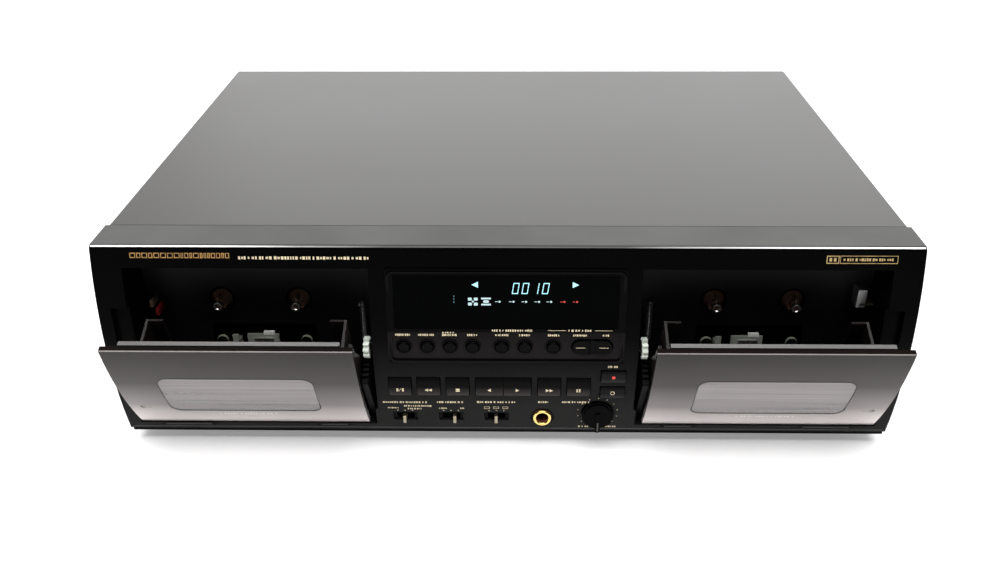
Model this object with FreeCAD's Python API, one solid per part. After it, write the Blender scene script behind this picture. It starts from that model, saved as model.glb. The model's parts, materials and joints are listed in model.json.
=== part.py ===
"""Twin auto-reverse cassette deck, with both cassette doors standing open.

Working frame: X to the right, Y back from the foremost line of the convex front face, Z up from
the surface that the feet stand on. Each part is moved forward by ORIGIN_DEPTH when it is saved,
so the origin is the bottom centre of the whole deck. All sizes are in millimetres.
"""
import FreeCAD, Part
import math
import os

V = FreeCAD.Vector
X_AXIS, Y_AXIS, Z_AXIS = V(1, 0, 0), V(0, 1, 0), V(0, 0, 1)

# ---- driving dimensions ------------------------------------------------------------------
WIDTH = 420.0                # standard component width
FEET = 10.0
PANEL_HEIGHT = 115.0
TOP = FEET + PANEL_HEIGHT
DEPTH = 302.0                # foremost line of the face to the rear panel
ORIGIN_DEPTH = 143.7         # origin's distance behind the foremost line

FACE_RADIUS = 219.0          # the face is one arc, symmetric about its mid-height
FACE_AXIS_Z = FEET + PANEL_HEIGHT / 2
PANEL_BACK = 31.0
COVER_WIDTH = 418.0
SHEET = 1.0                  # steel sheet of cover, chassis and rear panel
WALL = 8.0                   # front panel's wall beside the wells
CENTRE_WALL = 4.0            # and between them

FIT = 0.05                   # radial running clearance
GAP = 0.4                    # clearance between parts that move past each other

# left deck; the right deck is its mirror image
DECK_X = -132.9              # midway between the two reel spindles
WELL_X = (-194.7, -69.5)
WELL_Z = (TOP - 110.0, TOP - 11.5)
WELL_BACK = 28.0
LINER = 1.8

DOOR_X = (-202.5, -75.4)
DOOR_Z = (TOP - 106.5, TOP - 34.0)      # when closed
DOOR_THICK = 3.0
WINDOW_X = (-180.5, -98.9)
WINDOW_Z = (TOP - 91.0, TOP - 56.5)
HOLDER_ARM_X = ((-192.5, -191.0), (-78.0, -76.4))
HOLDER_PLATE_X = (-194.0, -82.5)
HOLDER_PLATE = (6.3, 7.1)
HOLDER_BOTTOM = TOP - 88.0
HOLDER_HOLES_X = (-134.3, -119.7)
HOLDER_BACK = 24.0
CASSETTE_X = (-184.2, -82.8)
CASSETTE_Z = (TOP - 79.0, TOP - 39.0)   # span of the channels that take the cassette
HINGE_Y, HINGE_Z = 13.6, TOP - 103.8
OPEN_ANGLE = 21.4
HINGE_PIN_R = 1.5

REEL_SPACING = 42.0
REEL_Z = TOP - 42.5
CAPSTAN_SPACING = 46.4
CAPSTAN_Z = TOP - 67.5
CAPSTAN_R = 1.25
PINCH_R = 6.0
CARRIAGE_TRAVEL = 4.5
HEAD_X = (DECK_X - 9.6, DECK_X + 7.6)
HEAD_TOP = TOP - 64.4
FLYWHEEL_R = 21.5

# mechanism planes, counted back from the face
PLATE = (WELL_BACK, WELL_BACK + 1.5)
BRIDGE = (40.5, 42.0)
REAR_PLATE = (62.0, 63.5)
THRUST_PLATE = (80.0, 81.5)

BEZEL_X = (-61.0, 62.0)
BEZEL_Z = (TOP - 64.5, TOP - 11.0)
BEZEL_PROUD, BEZEL_DEPTH = 0.9, 2.0
DISPLAY_X = (-57.0, 58.0)
DISPLAY_Z = (TOP - 43.6, TOP - 14.4)
STRIP_Z = (TOP - 62.3, TOP - 45.4)      # sunk strip that holds the round buttons
BUTTON_Z = TOP - 54.3
BUTTON_X = (-52.9, -40.6, -28.7, -16.9, -1.8, 10.3, 25.0)
BUTTON_R = 3.1
ROCKER_X, ROCKER_W, ROCKER_H = 45.2, 20.6, 8.2

KEY_Z = (TOP - 86.7, TOP - 74.9)
KEY_X = {
    "key_deck_select": (-62.2, -50.4),
    "key_rewind": (-47.1, -35.0),
    "key_stop": (-31.5, -19.5),
    "key_play_reverse": (-15.8, -1.3),
    "key_play_forward": (-0.9, 13.7),
    "key_fast_forward": (17.4, 29.4),
    "key_pause": (33.0, 45.1),
}
REC_X = (50.9, 63.7)
REC_Z = (TOP - 76.9, TOP - 69.8)
MUTE_Z = (TOP - 87.5, TOP - 80.7)
KEY_PROUD = 1.6
KEY_CROWN = 1.1              # crown radius as a multiple of the key's height

SWITCH_X = (-54.9, -29.8, -4.9)
LEVER_X = (-55.1, -27.7, -5.1)
SWITCH_W, SWITCH_H = 13.4, 6.6
SWITCH_Z = TOP - 103.5
LEVER_W, LEVER_H, LEVER_PROUD = 1.7, 4.6, 3.4

MIC_X, MIC_Z, MIC_BORE_R = 20.1, TOP - 103.4, 3.25
KNOB_X, KNOB_Z, KNOB_R = 50.2, TOP - 100.0, 8.6
KNOB_FRONT, KNOB_BACK = -0.4, 4.2

DAMPER_Y, DAMPER_Z = 5.8, TOP - 59.0    # damper gear's axis
DAMPER_X = (-74.6, -71.6)
DAMPER_TEETH = 10
SECTOR_TEETH = 81                       # teeth that a whole circle of the door's sector would have
MODULE = 1.0

FOOT_R = 18.0
FOOT_X, FOOT_Y = 168.0, (58.0, 262.0)

JACK_R, JACK_LENGTH = 4.15, 8.0
JACK_X = (-150.0, -136.0)
JACK_Z = (FEET + 52.0, FEET + 66.0)
INLET_X, INLET_Z = 160.0, FEET + 30.0


# ---- helpers -----------------------------------------------------------------------------
def block(x, y, z):
    return Part.makeBox(x[1] - x[0], y[1] - y[0], z[1] - z[0], V(x[0], y[0], z[0]))


def rod(x, y, z, radius, length, axis=Y_AXIS):
    return Part.makeCylinder(radius, length, V(x, y, z), axis)


def ring(x, y, z, outer, inner, length, axis=Y_AXIS):
    return rod(x, y, z, outer, length, axis).cut(rod(x, y, z, inner, length, axis))


def rounded(x, y, z, radius, along=Y_AXIS):
    """A block with the four edges that run along one axis rounded."""
    shape = block(x, y, z)
    edges = [e for e in shape.Edges if abs(e.tangentAt(e.FirstParameter).dot(along)) > 0.9]
    return shape.makeFillet(radius, edges)


def plate(points, y):
    """A flat plate with the given X, Z outline."""
    wire = Part.makePolygon([V(px, y[0], pz) for px, pz in points + points[:1]])
    return Part.Face(wire).extrude(V(0, y[1] - y[0], 0))


def side_plate(points, x):
    """A flat plate with the given Y, Z outline."""
    wire = Part.makePolygon([V(x[0], py, pz) for py, pz in points + points[:1]])
    return Part.Face(wire).extrude(V(x[1] - x[0], 0, 0))


def behind_face(depth):
    """All that lies at least this far behind the convex face."""
    return rod(-WIDTH, FACE_RADIUS, FACE_AXIS_Z, FACE_RADIUS - depth, 2 * WIDTH, X_AXIS)


def face_layer(outline, front, back):
    """The part of an outline between two depths behind the face; negative depths stand proud."""
    return outline.common(behind_face(front)).cut(behind_face(back))


def face_depth(z):
    return FACE_RADIUS - math.sqrt(FACE_RADIUS ** 2 - (z - FACE_AXIS_Z) ** 2)


def fuse(shapes):
    whole = shapes[0]
    for shape in shapes[1:]:
        whole = whole.fuse(shape)
    return whole.removeSplitter()


def mirrored(shape):
    return shape.mirror(V(0, 0, 0), X_AXIS)


def opened(shape):
    """Turn a door part from closed, where it is modelled, to open, where it rests."""
    turned = shape.copy()
    turned.rotate(V(0, HINGE_Y, HINGE_Z), X_AXIS, OPEN_ANGLE)
    return turned


def toothed(centre, teeth, x, first, last, root=1.0, tip=0.75):
    """Gear teeth as separate wedges round an axis along X; angles are from +Z towards +Y."""
    pitch_r = MODULE * teeth / 2
    half = math.radians(360 / teeth) / 2
    out = []
    for i in range(first, last + 1):
        mid = math.radians(360 * i / teeth)
        outline = []
        for radius, share in ((pitch_r - root, -0.62), (pitch_r + tip, -0.26),
                              (pitch_r + tip, 0.26), (pitch_r - root, 0.62)):
            a = mid + share * half
            outline.append((centre[0] + radius * math.sin(a), centre[1] + radius * math.cos(a)))
        out.append(side_plate(outline, x))
    return out


def save(node, shape):
    moved = shape.copy()
    moved.translate(V(0, -ORIGIN_DEPTH, 0))
    moved.exportStep("parts/" + node + ".step")


def both(node, shape):
    """A left part and its mirror image."""
    save("left_" + node, shape)
    save("right_" + node, mirrored(shape))


# ---- front panel and what is fixed to it ------------------------------------------------------
def well_cut():
    """The well's mouth, a little narrower beside the door's lower inner corner."""
    step_x, step_z = WELL_X[1] - 1.6, TOP - 97.0
    points = [(WELL_X[0], WELL_Z[0]), (step_x, WELL_Z[0]), (step_x, step_z - 2.0),
              (WELL_X[1], step_z), (WELL_X[1], WELL_Z[1]), (WELL_X[0], WELL_Z[1])]
    return plate(points, (-15, 45))


def door_rebate():
    """Where the closed door's outer edge lies, deeper at its foot, which swings inwards."""
    x = (DOOR_X[0] - 0.7, WELL_X[0] + 1)
    upper = block(x, (-15, 40), (DOOR_Z[0] - 0.7, DOOR_Z[1] + 0.7))
    foot = block(x, (-15, 40), (WELL_Z[0], WELL_Z[0] + 12))
    return face_layer(upper, -1, DOOR_THICK + 0.5).fuse(face_layer(foot, -1, 6))


def front_panel():
    shell = block((-WIDTH / 2, WIDTH / 2), (0, PANEL_BACK), (FEET, TOP)).common(behind_face(0))
    front = [e for e in shell.Edges if abs(e.tangentAt(e.FirstParameter).x) > 0.9
             and e.CenterOfMass.y < 15]
    upper = [e for e in front if e.CenterOfMass.z > FACE_AXIS_Z]
    lower = [e for e in front if e.CenterOfMass.z < FACE_AXIS_Z]
    shell = shell.makeFillet(3.0, upper).makeFillet(1.5, lower)
    inside = block((-WIDTH / 2 + 3, WIDTH / 2 - 3), (0, 60), (FEET + 3, TOP - 3))
    centre = block((WELL_X[1] + 1.8, -WELL_X[1] - 1.8), (0, 60), (FEET + 3, TOP - 3))
    shell = shell.cut(inside.common(behind_face(WALL)))
    shell = shell.cut(centre.common(behind_face(CENTRE_WALL)))
    for cut in (well_cut(), door_rebate()):
        shell = shell.cut(cut).cut(mirrored(cut))

    pocket = rounded((BEZEL_X[0] - 0.1, BEZEL_X[1] + 0.1), (-15, 40),
                     (BEZEL_Z[0] - 0.1, BEZEL_Z[1] + 0.1), 1.6)
    shell = shell.cut(face_layer(pocket, -3, BEZEL_DEPTH))
    shell = shell.cut(bezel_openings())
    for x0, x1 in ((KEY_X["key_play_reverse"][0], KEY_X["key_play_forward"][1]),
                   *(KEY_X[k] for k in KEY_X if "play" not in k)):
        shell = shell.cut(block((x0 - GAP, x1 + GAP), (-5, 40), (KEY_Z[0] - GAP, KEY_Z[1] + GAP)))
    for z in (REC_Z, MUTE_Z):
        shell = shell.cut(block((REC_X[0] - GAP, REC_X[1] + GAP), (-5, 40), (z[0] - GAP, z[1] + GAP)))
    for x in SWITCH_X:
        shell = shell.cut(rounded((x - SWITCH_W / 2, x + SWITCH_W / 2), (-5, 12),
                                  (SWITCH_Z - SWITCH_H / 2, SWITCH_Z + SWITCH_H / 2), 0.8))
    shell = shell.cut(rod(MIC_X, -5, MIC_Z, 5.05, 40))
    shell = shell.cut(face_layer(rod(MIC_X, -5, MIC_Z, 6.5, 40), -1, 1.2))
    shell = shell.cut(rod(KNOB_X, -5, KNOB_Z, 3.4, 40))
    shell = shell.cut(rod(KNOB_X, -5, KNOB_Z, KNOB_R + 0.5, 5 + KNOB_BACK + GAP))
    pins = rod(-196.6, HINGE_Y, HINGE_Z, HINGE_PIN_R + FIT, 129.2, X_AXIS)
    shell = shell.cut(pins).cut(mirrored(pins))
    end = DAMPER_X[0] - 0.3
    stub = rod(end, DAMPER_Y, DAMPER_Z, 1.2, WELL_X[1] + 0.5 - end, X_AXIS)
    return shell.fuse(stub).fuse(mirrored(stub)).removeSplitter()


def bezel_openings():
    """Display window, round button holes and rocker slot, through bezel and panel."""
    cuts = [rounded(DISPLAY_X, (-15, 40), DISPLAY_Z, 1.0)]
    cuts += [rod(x, -15, BUTTON_Z, BUTTON_R + GAP, 55) for x in BUTTON_X]
    half_w, half_h = ROCKER_W / 2 + 0.7, ROCKER_H / 2 + 0.5
    cuts.append(rounded((ROCKER_X - half_w, ROCKER_X + half_w), (-15, 40),
                        (BUTTON_Z - half_h, BUTTON_Z + half_h), half_h - 0.05))
    return fuse(cuts)


def control_bezel():
    outline = rounded(BEZEL_X, (-15, 40), BEZEL_Z, 1.5)
    body = face_layer(outline, -BEZEL_PROUD, BEZEL_DEPTH)
    strip = rounded((BEZEL_X[0] + 2.5, BEZEL_X[1] - 2.5), (-15, 40), STRIP_Z, 0.8)
    return body.cut(face_layer(strip, -3, -0.3)).cut(bezel_openings())


def display_window():
    slack = 0.1
    outline = rounded((DISPLAY_X[0] + slack, DISPLAY_X[1] - slack), (-15, 40),
                      (DISPLAY_Z[0] + slack, DISPLAY_Z[1] - slack), 1.0)
    return face_layer(outline, -BEZEL_PROUD + 0.3, 2.2)


def mic_jack():
    front = face_depth(MIC_Z) - 1.0
    barrel = rod(MIC_X, front, MIC_Z, 5.0, 12)
    body = rounded((MIC_X - 7.5, MIC_X + 7.5), (10.8, 30.6), (MIC_Z - 6.5, MIC_Z + 6.5), 1.0)
    return barrel.fuse(body).cut(rod(MIC_X, -5, MIC_Z, MIC_BORE_R, 37)).removeSplitter()


# ---- keys, buttons, levers, knob ---------------------------------------------------------------
def key(x, z):
    """A key with a convex front, and a retaining flange and a plunger behind the panel."""
    mid_x, mid_z = (x[0] + x[1]) / 2, (z[0] + z[1]) / 2
    crown_r = KEY_CROWN * (z[1] - z[0])
    crown_y = face_depth(mid_z) - KEY_PROUD + crown_r
    crown = rod(x[0] - 1, crown_y, mid_z, crown_r, x[1] - x[0] + 2, X_AXIS)
    cap = rounded(x, (-15, 40), z, 0.9).common(crown).cut(behind_face(CENTRE_WALL + 0.6))
    flange = face_layer(block((x[0] - 0.1, x[1] + 0.1), (-5, 40), (z[0] - 1.2, z[1] + 1.2)),
                        CENTRE_WALL + 0.4, CENTRE_WALL + 1.4)
    plunger = block((mid_x - 1.5, mid_x + 1.5), (CENTRE_WALL + 1.0, 12.5), (mid_z - 1.5, mid_z + 1.5))
    return fuse([cap, flange, plunger])


def round_button(x):
    """Button with a crowned front."""
    front = face_depth(BUTTON_Z) - BEZEL_PROUD - 0.9
    cap = rod(x, front, BUTTON_Z, BUTTON_R, 8.0)
    rim = [e for e in cap.Edges if abs(e.CenterOfMass.y - front) < 0.01]
    cap = cap.makeFillet(0.7, rim)
    flange = rod(x, front + 7.0, BUTTON_Z, BUTTON_R + 0.9, 1.0)
    return fuse([cap, flange, rod(x, front + 7.5, BUTTON_Z, 1.2, 7.2)])


def level_rocker():
    """Oval rocker with a notch across its middle and a knuckle behind."""
    front = face_depth(BUTTON_Z) - BEZEL_PROUD - 0.7
    half_w, half_h = ROCKER_W / 2, ROCKER_H / 2
    cap = rounded((ROCKER_X - half_w, ROCKER_X + half_w), (front, front + 4.0),
                  (BUTTON_Z - half_h, BUTTON_Z + half_h), half_h - 0.05)
    cap = cap.cut(rod(ROCKER_X, front - 1.0, BUTTON_Z - 10, 1.8, 20, Z_AXIS))
    return cap.fuse(block((ROCKER_X - 1.5, ROCKER_X + 1.5), (front + 3.5, front + 8.0),
                          (BUTTON_Z - 2.0, BUTTON_Z + 2.0))).removeSplitter()


def lever(x):
    """Slide switch lever: a thin blade that stands out of the switch's slot."""
    tip = face_depth(SWITCH_Z) - LEVER_PROUD
    blade = block((x - LEVER_W / 2, x + LEVER_W / 2), (tip, 12.6),
                  (SWITCH_Z - LEVER_H / 2, SWITCH_Z + LEVER_H / 2))
    front = [e for e in blade.Edges if e.CenterOfMass.y < tip + 0.1]
    return blade.makeFillet(0.4, front)


def mix_knob():
    """Ribbed round knob with a pointer fin that points down, on its shaft."""
    back, front = KNOB_BACK, KNOB_FRONT
    skirt = rod(KNOB_X, front + 1.8, KNOB_Z, KNOB_R, back - front - 1.8)
    cap = rod(KNOB_X, front + 0.8, KNOB_Z, KNOB_R - 1.2, 2.0)
    fin = rounded((KNOB_X - 1.3, KNOB_X + 1.3), (front, front + 2.2),
                  (KNOB_Z - KNOB_R - 1.6, KNOB_Z + 2.0), 0.8)
    body = fuse([skirt, cap, fin, rod(KNOB_X, back - 1, KNOB_Z, 3.0, 15.0 - back)])
    ribs = 24
    for i in range(ribs):
        a = 2 * math.pi * i / ribs
        body = body.cut(rod(KNOB_X + KNOB_R * math.cos(a), front + 2.3, KNOB_Z + KNOB_R * math.sin(a),
                            0.45, 20))
    return body


# ---- door, window, holder, damper ----------------------------------------------------------------
def door():
    outline = block(DOOR_X, (-15, 40), DOOR_Z)
    body = face_layer(outline, 0, DOOR_THICK)
    body = body.cut(rounded(WINDOW_X, (-15, 40), WINDOW_Z, 6.0))
    return opened(body)


def door_window():
    gap = 0.45
    pane = rounded((WINDOW_X[0] + gap, WINDOW_X[1] - gap), (-15, 40),
                   (WINDOW_Z[0] + gap, WINDOW_Z[1] - gap), 5.6)
    flange = rounded((WINDOW_X[0] - 2, WINDOW_X[1] + 2), (-15, 40),
                     (WINDOW_Z[0] - 1.5, WINDOW_Z[1] + 2), 6.5)
    body = face_layer(pane, 0.1, DOOR_THICK + 0.5).fuse(
        face_layer(flange, DOOR_THICK, DOOR_THICK + 0.8))
    return opened(body.removeSplitter())


def holder_arm(x):
    """Side arm from the hinge to the door's top edge."""
    outline = [(HINGE_Y + 4, HINGE_Z - 3.5), (HINGE_Y + 5, HINGE_Z + 4), (24.0, TOP - 81.0),
               (24.0, TOP - 72.0), (9.0, TOP - 45.0), (7.0, DOOR_Z[1] - 1.0),
               (0.0, DOOR_Z[1] - 1.0), (0.0, HINGE_Z - 1.5), (HINGE_Y - 4, HINGE_Z - 3.5)]
    return side_plate(outline, x).common(behind_face(DOOR_THICK))


def holder_plate():
    """Sheet-metal plate with two square holes, as it lies behind the closed door."""
    top = DOOR_Z[1] - 0.3
    sheet = block(HOLDER_PLATE_X, HOLDER_PLATE, (HOLDER_BOTTOM, top))
    for x in HOLDER_HOLES_X:
        sheet = sheet.cut(block((x - 2.6, x + 2.6), (0, 20), (TOP - 66.5, TOP - 61.0)))
    lip = block(HOLDER_PLATE_X, (HOLDER_PLATE[1] - 1.9, HOLDER_PLATE[1] + 0.5), (top - 0.8, top))
    cross = block((HOLDER_ARM_X[0][1], HOLDER_ARM_X[1][0]), (HOLDER_PLATE[1] - 0.3, 9.5),
                  (HOLDER_BOTTOM - 3.0, HOLDER_BOTTOM + 0.2))
    return fuse([sheet, lip, cross.common(behind_face(DOOR_THICK))])


def door_holder():
    return opened(holder_plate())


def holder_bracket():
    """Two side brackets, each an arm with a hinge pin, a shelf and a channel for the cassette."""
    back = HOLDER_BACK + 1.2
    sides = []
    for arm_x, wall_x, lip_x, shelf_x, pin_x in (
            (HOLDER_ARM_X[0], (CASSETTE_X[0] - 1.4, CASSETTE_X[0]), (CASSETTE_X[0], CASSETTE_X[0] + 7.4),
             (HOLDER_ARM_X[0][0], -163.0), (-196.2, -191.7)),
            (HOLDER_ARM_X[1], (CASSETTE_X[1], CASSETTE_X[1] + 1.4), (CASSETTE_X[1] - 7.4, CASSETTE_X[1]),
             (-103.0, HOLDER_ARM_X[1][1]), (-77.0, -67.9))):
        wall = side_plate([(HOLDER_PLATE[1], CASSETTE_Z[1] - 1), (back, CASSETTE_Z[1]),
                           (back, CASSETTE_Z[0]), (HOLDER_PLATE[1], CASSETTE_Z[0])], wall_x)
        lip = block(lip_x, (HOLDER_BACK, back), CASSETTE_Z)
        shelf = block(shelf_x, (HOLDER_PLATE[1], back), (CASSETTE_Z[0] - 2.0, CASSETTE_Z[0] + 0.2))
        pin = rod(pin_x[0], HINGE_Y, HINGE_Z, HINGE_PIN_R, pin_x[1] - pin_x[0], X_AXIS)
        sides.append(fuse([holder_arm(arm_x), wall, lip, shelf, pin]).cut(holder_plate()))
    return opened(Part.makeCompound(sides))


def door_sector():
    """Toothed sector on the hinge pin that turns the damper gear."""
    pitch_r = MODULE * SECTOR_TEETH / 2
    first, last = -3, 4
    x = DAMPER_X
    bore = rod(x[0] - 1, HINGE_Y, HINGE_Z, HINGE_PIN_R, 6, X_AXIS)
    outline = [(HINGE_Y - 4, HINGE_Z)]
    steps = 12
    for i in range(steps + 1):
        a = math.radians((first - 0.4 + (last - first + 0.8) * i / steps) * 360 / SECTOR_TEETH)
        outline.append((HINGE_Y + (pitch_r - 0.9) * math.sin(a), HINGE_Z + (pitch_r - 0.9) * math.cos(a)))
    outline.append((HINGE_Y + 4, HINGE_Z))
    fan = side_plate(outline, x)
    window = [(HINGE_Y - 3.5, HINGE_Z + 33), (HINGE_Y + 5.5, HINGE_Z + 33), (HINGE_Y + 1, HINGE_Z + 12)]
    hub = rod(x[0], HINGE_Y, HINGE_Z, 4.2, x[1] - x[0], X_AXIS)
    web = block((HOLDER_ARM_X[1][1], x[0]), (HINGE_Y - 3, HINGE_Y + 3), (HINGE_Z + 14, HINGE_Z + 30))
    body = fuse([fan, hub, web] + toothed((HINGE_Y, HINGE_Z), SECTOR_TEETH, x, first, last))
    return opened(body.cut(side_plate(window, (x[0] - 0.5, x[1] + 1))).cut(bore))


def damper_gear():
    pitch_r = MODULE * DAMPER_TEETH / 2
    core = rod(DAMPER_X[0], DAMPER_Y, DAMPER_Z, pitch_r - 0.9, DAMPER_X[1] - DAMPER_X[0], X_AXIS)
    gear = fuse([core] + toothed((DAMPER_Y, DAMPER_Z), DAMPER_TEETH, DAMPER_X, 0, DAMPER_TEETH - 1))
    gear = gear.cut(rod(DAMPER_X[0] - 1, DAMPER_Y, DAMPER_Z, 1.2 + FIT, 6, X_AXIS))
    gear.rotate(V(0, DAMPER_Y, DAMPER_Z), X_AXIS, gear_phase())
    return gear


def gear_phase():
    """Turn that puts a gap of the damper gear on the sector's nearest tooth, door open."""
    to_gear = math.degrees(math.atan2(DAMPER_Y - HINGE_Y, DAMPER_Z - HINGE_Z))
    tooth_pitch = 360 / SECTOR_TEETH
    # in the open door's frame the sector's teeth stand at whole pitches less the opening angle
    offset = (to_gear + OPEN_ANGLE) / tooth_pitch
    lag = offset - round(offset)
    to_hinge = to_gear + 180
    gap_at = to_hinge + lag * (360 / DAMPER_TEETH)
    return -(gap_at + 180 / DAMPER_TEETH)


def door_springs():
    """A coil spring, as its outer tube, at the back of each well beside the holder's inner arm."""
    coil = ring(-77.4, 25.6, TOP - 66.0, 1.8, 1.1, 24.0, Z_AXIS)
    return Part.makeCompound([coil, mirrored(coil)])


# ---- wells and tape mechanism ------------------------------------------------------------------
def cassette_wells():
    outer = block((WELL_X[0] - LINER, WELL_X[1] + LINER), (0, WELL_BACK),
                  (WELL_Z[0] - LINER, WELL_Z[1] + LINER))
    liner = outer.common(behind_face(WALL + 0.02)).cut(block(WELL_X, (-5, 40), WELL_Z))
    liner = liner.cut(rod(-200, HINGE_Y, HINGE_Z, HINGE_PIN_R + FIT, 140, X_AXIS))
    return Part.makeCompound([liner, mirrored(liner)])


def reel_xs():
    return (DECK_X - REEL_SPACING / 2, DECK_X + REEL_SPACING / 2)


def capstan_xs():
    return (DECK_X - CAPSTAN_SPACING / 2, DECK_X + CAPSTAN_SPACING / 2)


def carriage_cutout():
    """Hole in the front plate for the head and the pinch rollers, narrower at its top."""
    return [(DECK_X - 30.0, TOP - 94.0), (DECK_X + 30.0, TOP - 94.0), (DECK_X + 30.0, TOP - 72.0),
            (DECK_X + 28.4, TOP - 58.4), (DECK_X - 28.4, TOP - 58.4), (DECK_X - 30.0, TOP - 72.0)]


def mech_frame():
    """Front plate, bearing bridge, rear plate and thrust plate on posts, and the bearing bosses."""
    front = block((WELL_X[0] - LINER, WELL_X[1] + LINER), PLATE, (WELL_Z[0] - LINER, WELL_Z[1] + LINER))
    front = front.cut(plate(carriage_cutout(), (PLATE[0] - 1, PLATE[1] + 1)))
    bridge = block((DECK_X - 40, DECK_X + 40), BRIDGE, (REEL_Z - 8, REEL_Z + 8))
    for x in reel_xs():
        front = front.cut(rod(x, PLATE[0] - 1, REEL_Z, 6.3, 5))
        bridge = bridge.cut(rod(x, BRIDGE[0] - 1, REEL_Z, 1.5 + FIT, 4))
    rear = block((DECK_X - 52, DECK_X + 54), REAR_PLATE, (TOP - 100.0, TOP - 14.0))
    for x in capstan_xs():
        rear = rear.cut(rod(x, REAR_PLATE[0] - 1, CAPSTAN_Z, CAPSTAN_R + FIT, 4))
    thrust = block((DECK_X - 52, DECK_X + 52), THRUST_PLATE, (TOP - 95.0, TOP - 12.0))
    motor_x, motor_z = motor_axis()
    plates = [front, bridge] + [p.cut(rod(motor_x, 60, motor_z, 4.8, 24)) for p in (rear, thrust)]
    bosses = [ring(x, 44.0, CAPSTAN_Z, 4.0, CAPSTAN_R + FIT, REAR_PLATE[0] - 44.0) for x in capstan_xs()]
    posts = [rod(DECK_X + dx, PLATE[1], z, 3.0, REAR_PLATE[0] - PLATE[1])
             for dx in (-46, 46) for z in (TOP - 22.0, TOP - 98.0)]
    posts += [rod(DECK_X + dx, REAR_PLATE[1], z, 2.5, THRUST_PLATE[0] - REAR_PLATE[1])
              for dx in (-48, 48) for z in (TOP - 90.0, TOP - 20.0)]
    posts += [rod(DECK_X + dx, PLATE[1], REEL_Z, 1.8, BRIDGE[0] - PLATE[1]) for dx in (-37, 0, 37)]
    return plates + bosses + posts


def mech_frames():
    pieces = mech_frame()
    return Part.makeCompound(pieces + [mirrored(p) for p in pieces])


def reel_spindle(x):
    """Hollow-tipped spindle with three drive fins, a domed hub and a reel disc behind."""
    tip = ring(x, 19.0, REEL_Z, 2.3, 1.3, 3.0)
    stem = rod(x, 20.5, REEL_Z, 2.3, 12.5)
    dome = Part.makeCone(3.0, 5.4, 3.2, V(x, 26.0, REEL_Z), Y_AXIS)
    hub = rod(x, 29.2, REEL_Z, 5.4, 5.0)
    disc = rod(x, 34.0, REEL_Z, 13.0, 4.0)
    shaft = rod(x, 33.0, REEL_Z, 1.5, 10.5)
    fins = []
    for i in range(3):
        fin = block((x - 0.45, x + 0.45), (21.5, 27.0), (REEL_Z, REEL_Z + 3.9))
        fin.rotate(V(x, 0, REEL_Z), Y_AXIS, 120 * i)
        fins.append(fin)
    return fuse([tip, stem, dome, hub, disc, shaft] + fins)


def capstan(x):
    """Capstan shaft with a guide collar near its tip and its flywheel."""
    shaft = rod(x, 20.5, CAPSTAN_Z, CAPSTAN_R, THRUST_PLATE[0] - 0.5 - 20.5)
    collar = rod(x, 24.6, CAPSTAN_Z, 2.9, 2.0)
    flywheel = rod(x, 67.0, CAPSTAN_Z, FLYWHEEL_R, 10.0)
    groove = ring(x, 72.0, CAPSTAN_Z, FLYWHEEL_R + 1, FLYWHEEL_R - 1, 0.8)
    return fuse([shaft, collar, flywheel]).cut(groove)


def head_carriage():
    """Head, tape guides and pinch rollers on the plate that lifts them to the tape."""
    base = block((DECK_X - 34, DECK_X + 34), (34.5, 36.0), (TOP - 100.0, TOP - 76.0))
    roller_z = CAPSTAN_Z - CAPSTAN_R - PINCH_R - 0.3 - CARRIAGE_TRAVEL
    head = block(HEAD_X, (26.0, 27.6), (TOP - 80.0, HEAD_TOP))
    core = block((HEAD_X[0] + 2, HEAD_X[1] - 2), (27.0, 35.0), (TOP - 80.0, HEAD_TOP - 5.0))
    nose = block((DECK_X - 0.2, DECK_X + 5.2), (26.2, 27.6), (HEAD_TOP - 0.2, HEAD_TOP + 1.7))
    guide = block((DECK_X - 18.0, DECK_X - 14.8), (26.2, 27.6), (TOP - 80.0, HEAD_TOP - 0.6))
    arm = block((DECK_X - 17.5, DECK_X - 15.3), (27.0, 35.0), (TOP - 80.0, HEAD_TOP - 6.0))
    parts = [base, head, core, nose, guide, arm]
    for x in capstan_xs():
        parts.append(rod(x, 27.0, roller_z, PINCH_R, 6.5))
        parts.append(rod(x, 26.2, roller_z, 1.0, 9.0))
    return fuse(parts)


def motor_axis():
    return DECK_X - 33.0, TOP - 28.0


def motor():
    """Capstan motor behind the thrust plate, its pulley reaching forward to the belt's plane."""
    x, z = motor_axis()
    can = rod(x, THRUST_PLATE[1], z, 15.5, 26.0)
    return fuse([can, rod(x, THRUST_PLATE[1], z, 1.0, 28.0),
                 rod(x, 67.5, z, 1.0, THRUST_PLATE[1] - 67.0), rod(x, 68.0, z, 4.0, 7.0)])


def belt():
    """Flat loop round the outer flywheel and the motor pulley."""
    ax, az = capstan_xs()[0], CAPSTAN_Z
    bx, bz = motor_axis()
    dist = math.hypot(bx - ax, bz - az)
    along = ((bx - ax) / dist, (bz - az) / dist)

    def loop(ra, rb, y, length):
        lean = (ra - rb) / dist
        rise = math.sqrt(1 - lean ** 2)
        points = []
        for cx, cz, r, side in ((ax, az, ra, 1), (bx, bz, rb, 1), (bx, bz, rb, -1), (ax, az, ra, -1)):
            nx = along[0] * lean - side * along[1] * rise
            nz = along[1] * lean + side * along[0] * rise
            points.append((cx + r * nx, cz + r * nz))
        return fuse([rod(ax, y, az, ra, length), rod(bx, y, bz, rb, length), plate(points, (y, y + length))])

    inner_a, inner_b = FLYWHEEL_R + 0.35, 4.0
    return loop(inner_a + 1.0, inner_b + 1.0, 69.5, 4.0).cut(loop(inner_a, inner_b, 68.5, 6.0))


def tape_drives():
    """Motor and belt of each deck."""
    pieces = [motor(), belt()]
    return Part.makeCompound(pieces + [mirrored(p) for p in pieces])


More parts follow.
